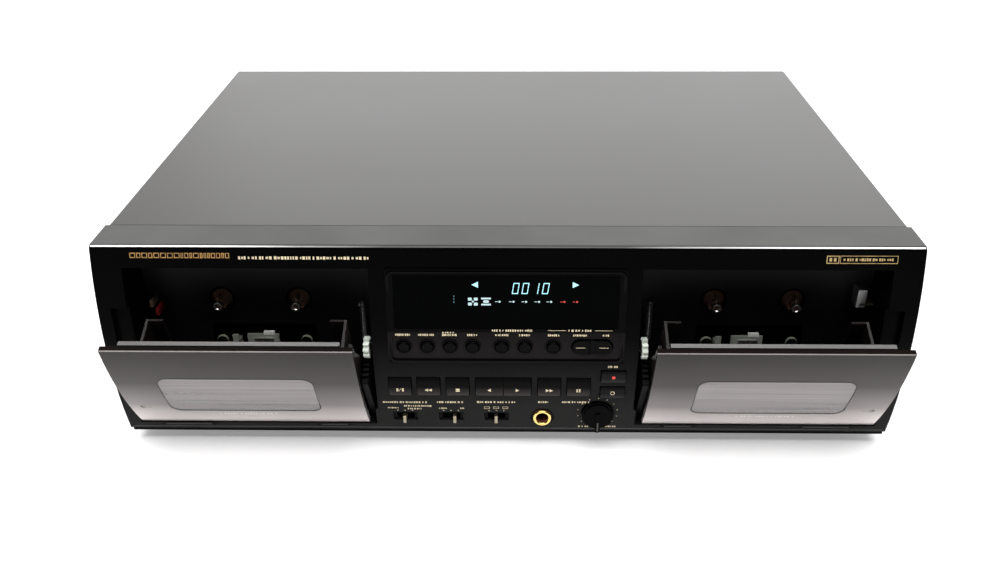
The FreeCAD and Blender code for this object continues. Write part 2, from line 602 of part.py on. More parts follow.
# ---- case ---------------------------------------------------------------------------------------
def top_cover():
    half = COVER_WIDTH / 2
    y = (PANEL_BACK + 0.4, DEPTH - 1.2)
    shell = rounded((-half, half), y, (FEET + 1.2, TOP + 10), 1.5)
    shell = shell.common(block((-half, half), y, (FEET + 1.2, TOP)))
    upper = [e for e in shell.Edges if abs(e.tangentAt(e.FirstParameter).y) > 0.9
             and e.CenterOfMass.z > TOP - 0.1]
    shell = shell.makeFillet(2.0, upper)
    inner = block((-half + SHEET, half - SHEET), (0, DEPTH + 10), (0, TOP - SHEET))
    shell = shell.cut(inner)
    for i in range(9):
        y0 = 120.0 + 14 * i
        for s in (-1, 1):
            x = sorted((s * (half - 3), s * (half + 3)))
            shell = shell.cut(rounded(x, (y0, y0 + 4), (FEET + 30, FEET + 80), 1.9, X_AXIS))
    return shell


def base_chassis():
    half = COVER_WIDTH / 2 - SHEET - 0.3
    y = (PANEL_BACK + 0.4, DEPTH - 0.8)
    tray = block((-half, half), y, (FEET, FEET + 14))
    tray = tray.cut(block((-half + SHEET, half - SHEET), (y[0] + SHEET, DEPTH + 10), (FEET + SHEET, TOP)))
    for i in range(8):
        for y0 in (110.0, 150.0):
            x0 = -70.0 + 18 * i
            tray = tray.cut(rounded((x0, x0 + 4), (y0, y0 + 28), (0, FEET + 5), 1.9, Z_AXIS))
    return tray


def rear_panel():
    half = COVER_WIDTH / 2 - SHEET - 0.3
    panel = block((-half, half), (DEPTH - 0.8, DEPTH + 0.2), (FEET, TOP - SHEET - 0.3))
    for x in JACK_X:
        for z in JACK_Z:
            panel = panel.cut(rod(x, DEPTH - 5, z, 5.5, 10))
    panel = panel.cut(rounded((INLET_X - 10.2, INLET_X + 10.2), (DEPTH - 5, DEPTH + 5),
                              (INLET_Z - 6.2, INLET_Z + 6.2), 0.4))
    for row in range(3):
        for i in range(16):
            x0 = -20.0 + 7 * i
            z0 = FEET + 40 + 18 * row
            panel = panel.cut(rounded((x0, x0 + 2.6), (DEPTH - 5, DEPTH + 5), (z0, z0 + 13), 1.25))
    return panel


def feet():
    pads = []
    for x in (-FOOT_X, FOOT_X):
        for y in FOOT_Y:
            foot = Part.makeCone(FOOT_R - 2, FOOT_R, FEET, V(x, y, 0), Z_AXIS)
            low = [e for e in foot.Edges if e.CenterOfMass.z < 0.01 and len(e.Vertexes) < 2]
            pads.append(foot.makeFillet(1.0, low))
    return Part.makeCompound(pads)


def screw(x, y, z, axis):
    """Pan-head screw whose head stands on a sheet, with a cross slot."""
    head = Part.makeCylinder(3.4, 1.8, V(x, y, z), axis)
    rim = [e for e in head.Edges if (e.CenterOfMass - V(x, y, z)).dot(axis) > 1.7 and len(e.Vertexes) < 2]
    head = head.makeFillet(0.9, rim)
    for turn in (0, 90):
        slot = Part.makeBox(4.2, 0.9, 1.2, V(-2.1, -0.45, 0))
        slot.rotate(V(0, 0, 0), Z_AXIS, turn)
        slot.Placement = FreeCAD.Placement(V(x, y, z) + axis * 0.9, FreeCAD.Rotation(Z_AXIS, axis)).multiply(
            slot.Placement)
        head = head.cut(slot)
    return head


def screws():
    out = []
    for y in (PANEL_BACK + 22, DEPTH - 30):
        out.append(screw(-COVER_WIDTH / 2, y, FEET + 9, V(-1, 0, 0)))
        out.append(screw(COVER_WIDTH / 2, y, FEET + 9, V(1, 0, 0)))
    rear = [(-198, FEET + 8), (-70, FEET + 8), (70, FEET + 8), (198, FEET + 8),
            (-198, TOP - 9), (-70, TOP - 9), (70, TOP - 9), (198, TOP - 9)]
    rear += [(INLET_X - 17, INLET_Z), (INLET_X + 17, INLET_Z), (-122, FEET + 59), (-164, FEET + 59)]
    out += [screw(x, DEPTH + 0.2, z, Y_AXIS) for x, z in rear]
    return Part.makeCompound(out)


# ---- electronics ----------------------------------------------------------------------------------
def front_board():
    """Board behind the controls with its display tube, switches and level control, as a list."""
    parts = [block((-66.0, 66.0), (18.0, 19.6), (TOP - 94.0, TOP - 13.0))]
    mid_z = (KEY_Z[0] + KEY_Z[1]) / 2
    spots = [((x[0] + x[1]) / 2, mid_z) for x in KEY_X.values()]
    spots += [((REC_X[0] + REC_X[1]) / 2, (z[0] + z[1]) / 2) for z in (REC_Z, MUTE_Z)]
    spots += [(x, BUTTON_Z) for x in BUTTON_X]
    parts += [block((x - 2.5, x + 2.5), (14.4, 18.0), (z - 2.5, z + 2.5)) for x, z in spots]
    bodies = [block((x - 8, x + 8), (13.2, 22.0), (SWITCH_Z - 5, SWITCH_Z + 4.5)) for x in SWITCH_X]
    control = block((KNOB_X - 8, KNOB_X + 8), (15.0, 25.0), (KNOB_Z - 8, KNOB_Z + 5))
    control = control.cut(rod(KNOB_X, 10, KNOB_Z, 3.0 + FIT, 10))
    tube = rounded((-50.0, 51.0), (10.5, 16.5), (TOP - 41.5, TOP - 16.5), 2.0)
    return [fuse(parts), tube] + bodies + [control]


def main_board():
    """Board with capacitors, connectors and a finned heat sink, on four pillars."""
    base = FEET + 8.0
    parts = [block((-60.0, 120.0), (110.0, 290.0), (base, base + 1.6))]
    parts += [rod(x, y, FEET + SHEET, 3.0, 8.0 - SHEET, Z_AXIS) for x in (-52, 112) for y in (118, 282)]
    parts += [rod(x, y, base + 1.5, r, h, Z_AXIS) for x, y, r, h in
              ((-40, 140, 11, 32), (-40, 168, 11, 32), (-10, 140, 6.5, 18), (10, 140, 6.5, 18),
               (30, 150, 5, 12), (45, 150, 5, 12), (60, 150, 5, 12), (80, 250, 6.5, 16))]
    parts += [block((x, x + 34), (200, 212), (base + 1.5, base + 6)) for x in (-30, 20, 70)]
    sink = [block((-52, -12), (240 + 6 * i, 242 + 6 * i), (base + 1.5, base + 34)) for i in range(6)]
    parts += sink + [block((-52, -49), (240, 272), (base + 1.5, base + 34))]
    return fuse(parts)


def circuit_boards():
    return Part.makeCompound(front_board() + [main_board()])


def transformer():
    core = block((138.0, 190.0), (120.0, 162.0), (FEET + SHEET, FEET + 47.0))
    coil = rounded((146.0, 182.0), (108.0, 174.0), (FEET + 8.0, FEET + 40.0), 6.0, X_AXIS)
    foot = block((128.0, 200.0), (132.0, 150.0), (FEET + SHEET, FEET + 3.0))
    return fuse([core, coil, foot])


def rear_jacks():
    housing = block((JACK_X[0] - 8, JACK_X[1] + 8), (DEPTH - 14, DEPTH - 0.8), (JACK_Z[0] - 8, JACK_Z[1] + 8))
    parts = [housing]
    for x in JACK_X:
        for z in JACK_Z:
            parts.append(rod(x, DEPTH - 1, z, 5.3, 1.8))
            parts.append(rod(x, DEPTH - 1, z, JACK_R, JACK_LENGTH + 1.8))
    body = fuse(parts)
    for x in JACK_X:
        for z in JACK_Z:
            body = body.cut(rod(x, DEPTH - 1, z, 1.6, 20))
            body = body.cut(ring(x, DEPTH + 1.5, z, 3.5, 2.5, 20))
    return body


def power_inlet():
    """Two-pin inlet with a figure-of-eight mouth."""
    lobe, lobe_r = 3.6, 4.4
    flange = rounded((INLET_X - 12, INLET_X + 12), (DEPTH + 0.2, DEPTH + 1.8),
                     (INLET_Z - 8, INLET_Z + 8), 2.0)
    body = block((INLET_X - 10, INLET_X + 10), (DEPTH - 18, DEPTH + 0.4), (INLET_Z - 6, INLET_Z + 6))
    shell = fuse([flange, body])
    mouth = fuse([rod(INLET_X - lobe, DEPTH - 12, INLET_Z, lobe_r, 20),
                  rod(INLET_X + lobe, DEPTH - 12, INLET_Z, lobe_r, 20),
                  block((INLET_X - lobe, INLET_X + lobe), (DEPTH - 12, DEPTH + 8),
                        (INLET_Z - lobe, INLET_Z + lobe))])
    pins = [rod(INLET_X + dx, DEPTH - 13, INLET_Z, 1.2, 11) for dx in (-4.3, 4.3)]
    return fuse([shell.cut(mouth)] + pins)


# ---- build ------------------------------------------------------------------------------------------
def build():
    os.makedirs("parts", exist_ok=True)
    for make in (front_panel, control_bezel, display_window, mic_jack, level_rocker, mix_knob,
                 cassette_wells, mech_frames, door_springs, top_cover, base_chassis,
                 rear_panel, feet, screws, circuit_boards, transformer, rear_jacks, power_inlet,
                 tape_drives):
        save(make.__name__, make())
    for make in (door, door_window, door_holder, holder_bracket, door_sector, damper_gear):
        both(make.__name__, make())
    carriage = head_carriage()              # the same way round in both decks
    save("left_head_carriage", carriage)
    carriage.translate(V(-2 * DECK_X, 0, 0))
    save("right_head_carriage", carriage)
    for name, x in zip(("outer", "inner"), reel_xs()):
        both(name + "_reel_spindle", reel_spindle(x))
    for name, x in zip(("outer", "inner"), capstan_xs()):
        both(name + "_capstan", capstan(x))
    for name, x in KEY_X.items():
        save(name, key(x, KEY_Z))
    save("key_record", key(REC_X, REC_Z))
    save("key_record_mute", key(REC_X, MUTE_Z))
    for number, x in enumerate(BUTTON_X, 1):
        save("round_button_%d" % number, round_button(x))
    for name, x in zip(("timer", "noise_reduction", "reverse_mode"), LEVER_X):
        save(name + "_lever", lever(x))


build()
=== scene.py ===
"""Looks of the twin cassette deck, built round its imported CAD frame."""
import json
import math
import random

import bmesh
import bpy
from mathutils import Matrix, Vector


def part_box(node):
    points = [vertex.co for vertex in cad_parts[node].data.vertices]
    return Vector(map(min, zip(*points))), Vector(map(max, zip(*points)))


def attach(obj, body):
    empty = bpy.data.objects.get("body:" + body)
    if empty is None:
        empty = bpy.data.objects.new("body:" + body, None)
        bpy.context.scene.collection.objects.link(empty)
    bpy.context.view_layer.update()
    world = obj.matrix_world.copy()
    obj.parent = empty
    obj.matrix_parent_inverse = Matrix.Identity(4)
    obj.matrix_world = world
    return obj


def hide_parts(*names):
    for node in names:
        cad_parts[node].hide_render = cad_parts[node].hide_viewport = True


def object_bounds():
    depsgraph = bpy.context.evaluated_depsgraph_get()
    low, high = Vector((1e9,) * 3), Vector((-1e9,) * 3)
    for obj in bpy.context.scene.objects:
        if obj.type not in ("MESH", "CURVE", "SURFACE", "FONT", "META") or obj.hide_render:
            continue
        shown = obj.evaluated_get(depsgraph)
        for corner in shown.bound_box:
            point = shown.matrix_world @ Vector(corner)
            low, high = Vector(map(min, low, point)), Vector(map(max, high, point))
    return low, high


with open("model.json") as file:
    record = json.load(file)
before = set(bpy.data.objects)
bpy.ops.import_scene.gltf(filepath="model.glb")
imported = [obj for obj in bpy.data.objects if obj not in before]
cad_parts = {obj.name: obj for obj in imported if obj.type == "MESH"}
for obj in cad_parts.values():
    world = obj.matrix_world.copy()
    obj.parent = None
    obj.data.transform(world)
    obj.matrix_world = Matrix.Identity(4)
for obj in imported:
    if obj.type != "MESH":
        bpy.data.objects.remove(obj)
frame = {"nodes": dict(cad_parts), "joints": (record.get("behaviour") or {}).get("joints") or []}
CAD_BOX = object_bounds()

MM = 0.001

# ---- driving places, from the frame ------------------------------------------------------
PANEL_LO, PANEL_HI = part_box("front_panel")
TOP = PANEL_HI.z
FACE_LINE = PANEL_LO.y               # foremost line of the convex face
FACE_RADIUS = 219 * MM
FACE_AXIS_Z = (PANEL_LO.z + PANEL_HI.z) / 2
BEZEL_PROUD = 0.9 * MM
STRIP_RECESS = 0.3 * MM
WINDOW_PROUD = 0.6 * MM
KEY_PROUD = 1.6 * MM
KEY_CROWN = 1.1                      # crown radius as a multiple of the key's height
DOOR_THICK = 3.0 * MM
MARK_LIFT = 0.04 * MM                # how far printed marks stand proud
MARK_DEPTH = 0.12 * MM               # and how far they reach in

# Places in millimetres: X from the panel's middle, drops from the top.
DECK_X = 132.9                       # middle of a deck
DOOR_X = (-202.5, -75.4)             # edges of the left door
DOOR_TOP_DROP = 34.0
WINDOW_X = (-180.5, -98.9)           # opening of the left door's window
WINDOW_DROPS = (56.5, 91.0)
HINGE_SLOTS_X = ((-191.7, -161.3), (-104.8, -85.3))
SWITCHES_X = {"timer_lever": -54.9, "noise_reduction_lever": -29.8, "reverse_mode_lever": -4.9}
SWITCH_DROP = 103.5
SWITCH_STEP = 4.0                    # between two positions of a switch
JACK_DROP = 103.4
KNOB_DROP = 100.0
CAPSTAN_DROP = 67.5
CAPSTAN_RADIUS = 1.25
ROLLERS_X = (-155.6, -110.2)         # pinch rollers of the left deck
ROLLER_RADIUS = 6.0
ROLLER_GAP = 0.3                     # to the capstan when the carriage is up
CARRIAGE_LIFT = 4.5

HINGE_JOINT = next(j for j in frame["joints"] if j["child"] == "left_door")
SIDES = {"left": 1, "right": -1}     # sign of X; most of the right deck mirrors the left one


def below(distance):
    """Height of a line this many millimetres below the top."""
    return TOP - distance * MM


def face_y(z, proud=0.0):
    """Y of the convex face at a height, or of a surface that stands proud of it."""
    return FACE_LINE + FACE_RADIUS - math.sqrt((FACE_RADIUS + proud) ** 2 - (z - FACE_AXIS_Z) ** 2)


def centre(node):
    lo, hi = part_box(node)
    return (lo + hi) / 2


def front_of(node, depth=0.0):
    """Middle of a node's front, or of a place behind it."""
    mid = centre(node)
    return Vector((mid.x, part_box(node)[0].y + depth, mid.z))


# ---- materials -----------------------------------------------------------------------------
def material(name, colour, roughness, metallic=0.0, specular=0.5, shade=0.12, shade_scale=18.0,
             rough_spread=0.08, grain=900.0, bump=0.04, stretch=(1, 1, 1), coat=0.0, coat_rough=0.1,
             alpha=1.0, glow=None, glow_strength=0.0):
    """Principled shader whose colour, roughness and grain vary over the surface."""
    made = bpy.data.materials.new(name)
    made.use_nodes = True
    nodes, links = made.node_tree.nodes, made.node_tree.links
    shader = nodes["Principled BSDF"]
    place = nodes.new("ShaderNodeTexCoord")
    mapping = nodes.new("ShaderNodeMapping")
    mapping.inputs["Scale"].default_value = stretch
    links.new(place.outputs["Object"], mapping.inputs["Vector"])

    cloud = nodes.new("ShaderNodeTexNoise")
    cloud.inputs["Scale"].default_value = shade_scale
    cloud.inputs["Detail"].default_value = 5.0
    links.new(mapping.outputs["Vector"], cloud.inputs["Vector"])
    ramp = nodes.new("ShaderNodeValToRGB")
    ramp.color_ramp.elements[0].position = 0.3
    ramp.color_ramp.elements[1].position = 0.7
    for element, factor in zip(ramp.color_ramp.elements, (1 - shade, 1 + shade)):
        element.color = (*[min(1.0, c * factor) for c in colour], 1.0)
    links.new(cloud.outputs["Fac"], ramp.inputs["Fac"])
    links.new(ramp.outputs["Color"], shader.inputs["Base Color"])

    spread = nodes.new("ShaderNodeMapRange")
    spread.inputs["To Min"].default_value = max(0.02, roughness - rough_spread)
    spread.inputs["To Max"].default_value = min(1.0, roughness + rough_spread)
    links.new(cloud.outputs["Fac"], spread.inputs["Value"])
    links.new(spread.outputs["Result"], shader.inputs["Roughness"])

    fine = nodes.new("ShaderNodeTexNoise")
    fine.inputs["Scale"].default_value = grain
    fine.inputs["Detail"].default_value = 2.0
    links.new(mapping.outputs["Vector"], fine.inputs["Vector"])
    rise = nodes.new("ShaderNodeBump")
    rise.inputs["Strength"].default_value = bump
    rise.inputs["Distance"].default_value = 0.0004
    links.new(fine.outputs["Fac"], rise.inputs["Height"])
    links.new(rise.outputs["Normal"], shader.inputs["Normal"])

    shader.inputs["Metallic"].default_value = metallic
    shader.inputs["Specular IOR Level"].default_value = specular
    shader.inputs["Coat Weight"].default_value = coat
    shader.inputs["Coat Roughness"].default_value = coat_rough
    shader.inputs["Alpha"].default_value = alpha
    if glow:
        shader.inputs["Emission Color"].default_value = (*glow, 1.0)
        shader.inputs["Emission Strength"].default_value = glow_strength
    return made


def add_fade(made, stops, axis="Z"):
    """Multiplies a material's colour by a factor that follows (place along the axis, factor) stops."""
    nodes, links = made.node_tree.nodes, made.node_tree.links
    shader, ramp = nodes["Principled BSDF"], nodes["Color Ramp"]
    place = nodes["Texture Coordinate"]
    split = nodes.new("ShaderNodeSeparateXYZ")
    links.new(place.outputs["Object"], split.inputs["Vector"])
    fade = nodes.new("ShaderNodeFloatCurve")
    first, last = stops[0][0], stops[-1][0]
    most = max(factor for _, factor in stops)
    share = nodes.new("ShaderNodeMapRange")
    share.inputs["From Min"].default_value = first
    share.inputs["From Max"].default_value = last
    links.new(split.outputs[axis], share.inputs["Value"])
    line = fade.mapping.curves[0]
    line.points[0].location = (0.0, stops[0][1] / most)
    line.points[1].location = (1.0, stops[-1][1] / most)
    for place_at, factor in stops[1:-1]:
        line.points.new((place_at - first) / (last - first), factor / most)
    for point in line.points:
        point.handle_type = "VECTOR"
    fade.mapping.update()
    links.new(share.outputs["Result"], fade.inputs["Value"])
    scale = nodes.new("ShaderNodeMath")
    scale.operation = "MULTIPLY"
    scale.inputs[1].default_value = most
    links.new(fade.outputs["Value"], scale.inputs[0])
    product = nodes.new("ShaderNodeMix")
    product.data_type, product.blend_type = "RGBA", "MULTIPLY"
    product.inputs["Factor"].default_value = 1.0
    links.new(ramp.outputs["Color"], product.inputs["A"])
    links.new(scale.outputs["Value"], product.inputs["B"])
    links.new(product.outputs["Result"], shader.inputs["Base Color"])
    return made


PANEL_PLASTIC_PAINTED_LIGHT = material("panel_plastic_painted_light", (0.0013, 0.0013, 0.00128), 0.34, specular=0.015, grain=1600,
                         bump=0.05)
BEZEL_GLOSS = material("bezel_gloss", (0.0007, 0.0006, 0.0006), 0.12, specular=0.02, bump=0.01, coat=0.015)
LIP_GLOSS = material("lip_gloss", (0.0006, 0.0006, 0.0007), 0.12, specular=0.05, bump=0.01)
RIM_PAINTED_HIGHLIGHT = material("rim_painted_highlight", (0.06, 0.06, 0.06), 0.4, specular=0.2)
STRIP_PLASTIC = material("strip_plastic", (0.0016, 0.0012, 0.0012), 0.3, specular=0.06)
GLASS = material("display_glass", (0.0004, 0.0005, 0.0006), 0.08, specular=0.01, bump=0.005, shade=0.2)
COVER_PAINT_PAINTED_SHADE = material("cover_paint_painted_shade", (0.036, 0.034, 0.032), 0.36, specular=0.62, shade=0.14,
                       shade_scale=9, rough_spread=0.04, grain=2600, bump=0.10)
DOOR_LACQUER_PAINTED_REFLECTION = material("door_lacquer_painted_reflection", (0.20, 0.182, 0.178), 0.33, metallic=0.75, specular=0.1,
                        shade=0.06, grain=2200, bump=0.05, coat=0.03, coat_rough=0.2)
DOOR_EDGE = material("door_edge_smoke", (0.007, 0.005, 0.0045), 0.6, specular=0.01)
EDGE_PAINTED_HIGHLIGHT = material("edge_painted_highlight", (0.70, 0.70, 0.69), 0.3, metallic=0.2, specular=0.4)
DOOR_TOP_PAINTED_HIGHLIGHT = material("door_highlight_paint", (0.20, 0.18, 0.175), 0.3, metallic=0.6)
PANE = material("smoked_pane", (0.33, 0.30, 0.303), 0.14, specular=0.4, alpha=0.60, shade=0.16,
                shade_scale=60, stretch=(0.12, 1, 9))
PANE_EDGE = material("pane_edge", (0.02, 0.017, 0.017), 0.35, specular=0.2)
HOLDER_STEEL = material("holder_steel", (0.115, 0.11, 0.108), 0.42, metallic=0.7, grain=1500,
                        stretch=(0.05, 1, 14), shade_scale=60, bump=0.12)
SMOKE = material("smoke_plastic", (0.009, 0.006, 0.0055), 0.28, specular=0.2, alpha=0.88)
WELL_PLASTIC = material("well_plastic", (0.0011, 0.0011, 0.0012), 0.4, specular=0.03)
MECH_STEEL = material("mech_steel", (0.0045, 0.0045, 0.005), 0.4, specular=0.12)
PALE_PLASTIC = material("pale_plastic", (0.62, 0.66, 0.60), 0.4, shade=0.06)
COLLAR_GREEN = material("collar_green", (0.20, 0.22, 0.17), 0.4)
WHITE_PLASTIC = material("white_plastic", (0.86, 0.86, 0.83), 0.38, shade=0.04)
BROWN_PLASTIC = material("brown_plastic", (0.12, 0.085, 0.065), 0.35)
DOME_BROWN = material("dome_brown", (0.075, 0.042, 0.030), 0.25, specular=0.6)
HEAD_METAL = material("head_metal", (0.36, 0.38, 0.33), 0.4, metallic=0.35)
SPRING_WIRE = material("spring_wire", (0.16, 0.16, 0.155), 0.35, metallic=0.8, specular=0.3)
CHROME = material("chrome", (0.78, 0.78, 0.76), 0.15, metallic=1.0, bump=0.01)
GOLD = material("gold", (0.80, 0.58, 0.20), 0.2, metallic=1.0, bump=0.015)
NICKEL = material("satin_nickel", (0.30, 0.26, 0.19), 0.34, metallic=0.95, stretch=(1, 1, 0.1), grain=1500)
STEEL = material("bare_steel", (0.50, 0.50, 0.49), 0.38, metallic=0.9, stretch=(0.1, 1, 1), shade_scale=40)
COPPER_BORE = material("bore_brown", (0.16, 0.05, 0.03), 0.35, metallic=0.3)
RUBBER = material("foot_rubber", (0.016, 0.016, 0.016), 0.75, specular=0.25, grain=700, bump=0.2)
KEY_PLASTIC_PAINTED_REFLECTION = material("key_plastic", (0.0022, 0.0019, 0.0018), 0.3, specular=0.05, grain=2000, bump=0.04)
REC_PLASTIC = material("record_key_gloss", (0.0007, 0.0006, 0.0006), 0.12, specular=0.1)
BUTTON_PLASTIC = material("button_plastic", (0.0008, 0.0007, 0.0007), 0.16, specular=0.04)
KNOB_PLASTIC = material("knob_plastic", (0.0007, 0.0007, 0.0007), 0.4, specular=0.03)
PRINT_CREAM = material("print_cream", (0.62, 0.52, 0.34), 0.55, shade=0.2, shade_scale=700)
PRINT_GOLD = material("print_gold", (0.50, 0.36, 0.16), 0.35, metallic=0.5, shade=0.3, shade_scale=500)
BAND_GOLD = material("band_gold", (0.34, 0.19, 0.06), 0.4, metallic=0.4, shade=0.55, shade_scale=600)
# Painted glow: the red print on the recording key gives off a little light of its own.
PRINT_RED_PAINTED_GLOW = material("print_red_painted_glow", (0.60, 0.03, 0.02), 0.5, glow=(0.6, 0.02, 0.01), glow_strength=0.25)
GLOW_CYAN = material("glow_cyan", (0.10, 0.25, 0.28), 0.4, glow=(0.50, 0.92, 1.0), glow_strength=1.0)
GLOW_WHITE = material("glow_white", (0.2, 0.25, 0.25), 0.4, glow=(0.55, 0.80, 0.84), glow_strength=0.62)
GLOW_RED = material("glow_red", (0.3, 0.02, 0.01), 0.4, glow=(1.0, 0.05, 0.03), glow_strength=0.3)
PRINT_PALE = material("print_pale", (0.74, 0.71, 0.69), 0.5)
PRINT_FAINT = material("print_faint", (0.13, 0.115, 0.11), 0.5, specular=0.1)
KNOB_PAINTED_HIGHLIGHT = material("knob_highlight_paint", (0.055, 0.052, 0.048), 0.5, specular=0.2)
GLOW_DIM = material("glow_dim", (0.02, 0.07, 0.08), 0.4, glow=(0.05, 0.20, 0.22), glow_strength=0.3)
BOARD_GREEN = material("board_green", (0.05, 0.14, 0.07), 0.5)
DARK_METAL = material("motor_can", (0.36, 0.36, 0.37), 0.35, metallic=0.85)
RED_DARK = material("red_dark", (0.16, 0.008, 0.008), 0.4)
RED_PLASTIC = material("red_plastic", (0.55, 0.04, 0.03), 0.4)

DOOR_LOW, DOOR_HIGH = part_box("left_door")[0].z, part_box("left_door")[1].z
DOOR_RISE = DOOR_HIGH - DOOR_LOW
# Painted reflection: the door's colour is made far lighter towards its lower edge and far darker towards
# its top, standing in for reflected light.
add_fade(DOOR_LACQUER_PAINTED_REFLECTION, [(DOOR_LOW, 4.6), (DOOR_LOW + 0.1 * DOOR_RISE, 3.0),
                        (DOOR_LOW + 0.3 * DOOR_RISE, 1.0), (DOOR_LOW + 0.6 * DOOR_RISE, 0.26),
                        (DOOR_HIGH, 0.13)])
# Painted light: the panel's colour grows lighter towards its lower edge as painted reflection of the floor,
# and its flat top is made many times lighter as painted reflection of the bright room behind.
add_fade(PANEL_PLASTIC_PAINTED_LIGHT, [(PANEL_LO.z, 14.0), (PANEL_LO.z + 20 * MM, 12.0), (PANEL_LO.z + 50 * MM, 5.0),
                         (PANEL_LO.z + 65 * MM, 1.5), (PANEL_LO.z + 80 * MM, 0.7), (TOP - 0.03 * MM, 0.7),
                         (TOP - 0.008 * MM, 76.0), (TOP + 0.02 * MM, 76.0)])
add_fade(BEZEL_GLOSS, [(below(66), 0.7), (below(62.4), 0.7), (below(62.0), 16.0), (below(46.0), 9.0),
                       (below(45.2), 0.7), (TOP, 0.7)])
# Painted reflection: the keys' colour is made lighter towards their lower edges, standing in for the floor
# reflected in them.
add_fade(KEY_PLASTIC_PAINTED_REFLECTION, [(below(88), 14.0), (below(84.6), 9.0), (below(82), 5.0), (below(80.4), 0.5),
                       (below(74), 0.3)])
# Painted shade: the colour of the cover and rear panel is made darker towards the front, standing in for
# less reflected light there.
add_fade(COVER_PAINT_PAINTED_SHADE, [(CAD_BOX[0][1], 0.78), (0.0, 0.9), (CAD_BOX[1][1], 1.0)], axis="Y")
# Painted highlight: the top edge's bright line is brightest at both ends of the panel and fades almost to
# black in its middle.
add_fade(EDGE_PAINTED_HIGHLIGHT, [(PANEL_LO.x, 1.0), (-150 * MM, 0.9), (-105 * MM, 0.25), (-60 * MM, 0.01),
                       (60 * MM, 0.01), (95 * MM, 0.3), (130 * MM, 0.6), (170 * MM, 1.0),
                       (PANEL_HI.x, 1.0)], axis="X")


def paint(node, look):
    mesh = frame["nodes"][node].data
    if not mesh.materials:
        mesh.materials.append(look)
    for i in range(len(mesh.materials)):
        mesh.materials[i] = look


NODE_LOOKS = {
    "front_panel": PANEL_PLASTIC_PAINTED_LIGHT, "control_bezel": BEZEL_GLOSS, "display_window": GLASS,
    "mic_jack": COPPER_BORE, "level_rocker": BUTTON_PLASTIC, "mix_knob": KNOB_PLASTIC,
    "cassette_wells": WELL_PLASTIC, "mech_frames": MECH_STEEL, "top_cover": COVER_PAINT_PAINTED_SHADE,
    "base_chassis": STEEL, "rear_panel": COVER_PAINT_PAINTED_SHADE, "feet": RUBBER, "screws": STEEL,
    "circuit_boards": BOARD_GREEN, "transformer": DARK_METAL, "tape_drives": DARK_METAL,
    "rear_jacks": GOLD, "power_inlet": KNOB_PLASTIC,
    "timer_lever": NICKEL, "noise_reduction_lever": NICKEL, "reverse_mode_lever": NICKEL,
}
DECK_LOOKS = {
    "door": DOOR_LACQUER_PAINTED_REFLECTION, "door_window": PANE, "door_holder": HOLDER_STEEL, "holder_bracket": SMOKE,
    "door_sector": WELL_PLASTIC, "damper_gear": PALE_PLASTIC, "head_carriage": HEAD_METAL,
    "outer_reel_spindle": DOME_BROWN, "inner_reel_spindle": DOME_BROWN,
    "outer_capstan": CHROME, "inner_capstan": CHROME,
}
KEYS = [n for n in frame["nodes"] if n.startswith("key_")]
BUTTONS = sorted(n for n in frame["nodes"] if n.startswith("round_button_"))

for node, look in NODE_LOOKS.items():
    paint(node, look)
for side in SIDES:
    for node, look in DECK_LOOKS.items():
        paint(side + "_" + node, look)
for node in KEYS:
    paint(node, REC_PLASTIC if "record" in node else KEY_PLASTIC_PAINTED_REFLECTION)
for node in BUTTONS:
    paint(node, BUTTON_PLASTIC)


# ---- mesh building ----------------------------------------------------------------------------
def piece(name, verts, faces, look, body, smooth=True):
    """A closed mesh that rides on a body."""
    mesh = bpy.data.meshes.new(name)
    mesh.from_pydata([tuple(v) for v in verts], [], faces)
    work = bmesh.new()
    work.from_mesh(mesh)
    bmesh.ops.remove_doubles(work, verts=work.verts, dist=1e-7)
    bmesh.ops.recalc_face_normals(work, faces=work.faces)
    work.to_mesh(mesh)
    work.free()
    mesh.materials.append(look)
    if smooth:
        mesh.polygons.foreach_set("use_smooth", [True] * len(mesh.polygons))
        mesh.set_sharp_from_angle(angle=math.radians(32))
    made = bpy.data.objects.new(name, mesh)
    bpy.context.scene.collection.objects.link(made)
    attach(made, body)
    return made


def prisms(outlines, front, back):
    """Closed prisms from X, Z outlines, between two functions that place an X, Z point."""
    verts, faces = [], []
    for outline in outlines:
        first, n = len(verts), len(outline)
        verts += [front(x, z) for x, z in outline] + [back(x, z) for x, z in outline]
        faces.append(tuple(range(first, first + n)))
        faces.append(tuple(range(first + 2 * n - 1, first + n - 1, -1)))
        for i in range(n):
            j = (i + 1) % n
            faces.append((first + i, first + n + i, first + n + j, first + j))
    return verts, faces


def flat_piece(name, outlines, y_front, y_back, look, body, smooth=True):
    """Flat prisms between two Y places."""
    verts, faces = prisms(outlines, lambda x, z: (x, y_front, z), lambda x, z: (x, y_back, z))
    return piece(name, verts, faces, look, body, smooth)


def turned_piece(name, profile, at, look, body, steps=40):
    """Turns a closed loop of (radius, distance along Y) points round a line along Y through at."""
    verts, faces = [], []
    n = len(profile)
    for k in range(steps):
        a = 2 * math.pi * k / steps
        out = Vector((math.cos(a), 0, -math.sin(a)))
        verts += [at + Vector((0, h, 0)) + out * r for r, h in profile]
    for k in range(steps):
        m = (k + 1) % steps
        for i in range(n):
            j = (i + 1) % n
            faces.append((k * n + i, k * n + j, m * n + j, m * n + i))
    return piece(name, verts, faces, look, body)


def solid_profile(points):
    """Profile of a solid of revolution: outer points, closed down to a hair's breadth at the axis."""
    hair = 0.01 * MM
    return [(hair, points[0][1])] + points + [(hair, points[-1][1])]


def arc(x, z, radius, start, end, steps=8):
    """Points on an arc; angles in degrees from +X towards +Z."""
    out = []
    for i in range(steps + 1):
        a = math.radians(start + (end - start) * i / steps)
        out.append((x + radius * math.cos(a), z + radius * math.sin(a)))
    return out


def bar(x0, x1, z0, z1):
    return [(x0, z0), (x1, z0), (x1, z1), (x0, z1)]


